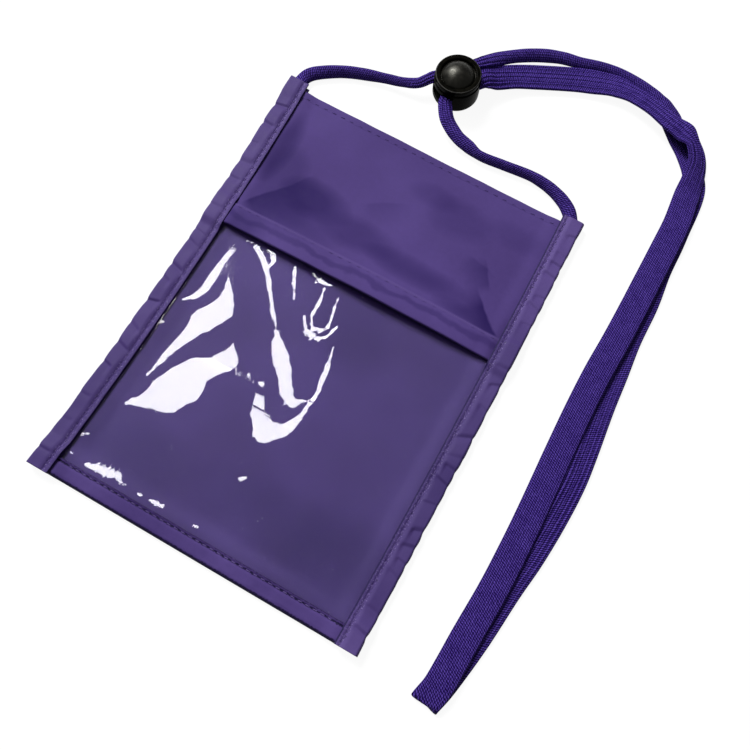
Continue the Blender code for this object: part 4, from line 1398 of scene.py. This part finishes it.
def lathe(name, profile, material):
    """A solid of revolution from (radius, height) points, whose ends are on the axis."""
    radius, height = np.array(profile[1:-1]).T
    turn = np.arange(LATHE_STEPS)[:, None] / LATHE_STEPS * math.tau
    around = np.stack([radius * np.cos(turn), radius * np.sin(turn), height + 0 * turn], axis=-1)
    ends = [(0, 0, profile[0][1]), (0, 0, profile[-1][1])]
    points = np.vstack([around.reshape(-1, 3), ends])
    count = len(height)
    first, last = len(points) - 2, len(points) - 1
    faces = []
    for i in range(LATHE_STEPS):
        a, b = i * count, (i + 1) % LATHE_STEPS * count
        faces += [(a + k, b + k, b + k + 1, a + k + 1) for k in range(count - 1)]
        faces += [(first, b, a), (last, a + count - 1, b + count - 1)]
    return make_object(name, points, faces, material)


def arc(centre, radius, start, end, steps=8):
    """Points on an arc between two angles in degrees."""
    angles = np.radians(np.linspace(start, end, steps + 1))
    return [(centre[0] + radius * math.cos(a), centre[1] + radius * math.sin(a)) for a in angles]


def cut_slot(piece, floor, form):
    """Takes the lace's slot out of a piece of the lock, with an exact Boolean that is applied.

    form is the slot's (width, height, corner radius).
    """
    width, height, corner = form
    half = width / 2 - corner
    low, high = floor + corner, floor + height - corner
    section = []
    for k, centre in enumerate([(half, low), (half, high), (-half, high), (-half, low)]):
        section += arc(centre, corner, 90 * k - 90, 90 * k)
    reach = LOCK_RADIUS * 1.2
    rings = [[(x, y, z) for y, z in section] for x in (-reach, reach)]
    cutter = tube_object("slot_cutter", rings, piece.data.materials[0])
    step = piece.modifiers.new("slot", "BOOLEAN")
    step.operation, step.solver, step.object = "DIFFERENCE", "EXACT", cutter
    cut = piece.evaluated_get(bpy.context.evaluated_depsgraph_get())
    shaped = bpy.data.meshes.new_from_object(cut)
    piece.modifiers.clear()
    piece.data = shaped
    shaped.set_sharp_from_angle(angle=SHARP_ANGLE)
    bpy.data.objects.remove(cutter)


def place_in_lock(piece):
    """Turns a piece of the lock along the lace and puts it on the lock's axis."""
    axis = (LOCK_CENTRE.x, LOCK_CENTRE.y, 0.0)
    piece.data.transform(Matrix.Translation(axis) @ Matrix.Rotation(LOCK_AZIMUTH, 4, "Z"))


def make_cup(material):
    """The lock's cup, with a rim over a groove that keeps the plunger in."""
    rim, rim_low = LOCK_RADIUS - RIM_SETBACK, RIM_TOP - RIM_HEIGHT
    groove, bore = rim - RIM_GROOVE, LOCK_RADIUS - LOCK_WALL
    foot = LOCK_RADIUS - LOCK_FOOT_ROUND
    shoulder = (LOCK_RADIUS - SHOULDER_ROUND, rim_low - SHOULDER_DROP)
    profile = [
        (0.0, 0.0),
        (foot, 0.0),
        *arc((foot, LOCK_FOOT_ROUND), LOCK_FOOT_ROUND, -90, 0, 12)[1:],
        (LOCK_RADIUS, rim_low - WALL_DROP),
        *arc(shoulder, SHOULDER_ROUND, 0, 90, 4),
        (groove, rim_low - RIM_GAP),
        (groove, rim_low),
        *arc((rim - RIM_FOOT_ROUND, rim_low + RIM_FOOT_ROUND), RIM_FOOT_ROUND, -90, 0, 5),
        *arc((rim - RIM_ROUND, RIM_TOP - RIM_ROUND), RIM_ROUND, 0, 90, 10),
        *arc((RIM_OPENING + RIM_INNER_ROUND, RIM_TOP - RIM_INNER_ROUND), RIM_INNER_ROUND, 90, 180, 8),
        (RIM_OPENING, RIM_TOP - RIM_LIP),
        (bore, RIM_TOP - RIM_LIP),
        (bore, LOCK_FLOOR),
        (0.0, LOCK_FLOOR),
    ]
    cup = lathe("lock_cup", profile, material)
    cut_slot(cup, SLOT_FLOOR, SLOT_FORM)
    return cup


def make_plunger(material):
    """The domed plunger, whose slot stands higher than the cup's until it is pressed."""
    head = RIM_OPENING - HEAD_GAP
    drum = LOCK_RADIUS - LOCK_WALL - RUNNING_GAP
    slot_floor = SLOT_FLOOR + PRESS_TRAVEL
    bottom = slot_floor - PLUNGER_WEB
    shoulder = RIM_TOP - RIM_LIP - RUNNING_GAP
    rise = DOME_TOP - DOME_BASE
    ball = (head**2 + rise**2) / (2 * rise)
    reach = math.degrees(math.asin(head / ball))
    profile = [
        (0.0, bottom),
        (drum - PLUNGER_EDGE, bottom),
        (drum, bottom + PLUNGER_EDGE),
        (drum, shoulder),
        (head, shoulder),
        *arc((0.0, DOME_TOP - ball), ball, 90 - reach, 90, 28)[:-1],
        (0.0, DOME_TOP),
    ]
    plunger = lathe("lock_plunger", profile, material)
    cut_slot(plunger, slot_floor, PLUNGER_SLOT)
    return plunger


def make_coil(material, low, high):
    """The spring between the cup's floor and the plunger."""
    angles = np.linspace(0, math.tau * SPRING_TURNS, SPRING_TURNS * 40 + 1)
    outward = np.stack([np.cos(angles), np.sin(angles), np.zeros(len(angles))], axis=-1)
    climb = np.linspace(low, high, len(angles))[:, None] * (0, 0, 1)
    turn = (np.arange(SPRING_SIDES) / SPRING_SIDES * math.tau)[None, :, None]
    wire = outward[:, None] * np.cos(turn) + np.sin(turn) * np.array((0, 0, 1.0))
    rings = (outward * SPRING_RADIUS + climb)[:, None] + SPRING_WIRE_RADIUS * wire
    return tube_object("spring_coil", rings, material)


def make_wallet():
    """The sewn body, each cloth with the size that it was cut to."""
    cloth = nylon("purple_taffeta", CLOTH_LIGHT, CLOTH_DEEP, FRONT_SHADES_MM, underside_and_shade=0.9)
    flap = nylon(
        "purple_header",
        HEADER_LIGHT,
        HEADER_DEEP,
        HEADER_SHADES_MM,
        underside_and_shade=0.95,
        marks=header_marks,
        sheen=0.07,
    )
    tape = nylon("purple_tape", TAPE_LIGHT, TAPE_DEEP, TAPE_SHADES_MM, cut_edge_and_shade=0.95, marks=tape_marks)
    back, front, film = make_back(cloth), make_front(cloth), make_film(clear_film())
    header = make_header(flap)
    left = make_binding("left_binding_tape", -1, tape)
    right = make_binding("right_binding_tape", 1, tape)
    bottom = make_hem(nylon("purple_hem", HEM_LIGHT, HEM_DEEP, marks=hem_marks, sheen=0.12))
    rows = make_stitches(nylon("purple_thread", THREAD_LIGHT, TAPE_LIGHT), flap)
    nodes = {
        "back_panel": back,
        "front_panel": front,
        "window_sheet": film,
        "header_panel": header,
        "left_binding": left,
        "right_binding": right,
        "bottom_hem": bottom,
    }
    for node, piece in nodes.items():
        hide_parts(node)

    for piece in [*nodes.values(), *rows]:
        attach(piece, "wallet")


def make_lock():
    """The cord lock's cup, plunger and spring."""
    low, high = (corner.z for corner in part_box("lock_spring"))
    low, high = low + SPRING_WIRE_RADIUS, high - SPRING_WIRE_RADIUS
    # The cup's painted highlight runs along its rim; the plunger's, at radius 0, is a small spot at
    # its dome's top
    cup = make_cup(moulded("black_gloss", 0.22, 0.12, 0.01, LOCK_RADIUS - HIGHLIGHT_INSET))
    plunger = make_plunger(moulded("black_worn", 0.29, 0.20, 0.46, 0.0))
    coil = make_coil(steel(), low, high)
    for piece, node, body, slot in (
        (cup, "lock_body", "lock", "black_plastic"),
        (plunger, "lock_button", "button", "black_plastic"),
        (coil, "lock_spring", "lock", "spring_steel"),
    ):
        place_in_lock(piece)
        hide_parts(node)
        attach(piece, body)
    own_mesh(coil)
    return [cup, plunger, coil]


def main():
    """The whole scene."""
    bpy.context.scene.view_settings.view_transform = "Standard"
    set_camera()
    add_floor()
    set_lights()
    make_wallet()
    lock = make_lock()
    make_laces(knitted("lace_knit", LACE_BODY, LACE_LOOP_HIGHLIGHT, LACE_GAP_SHADE))


main()
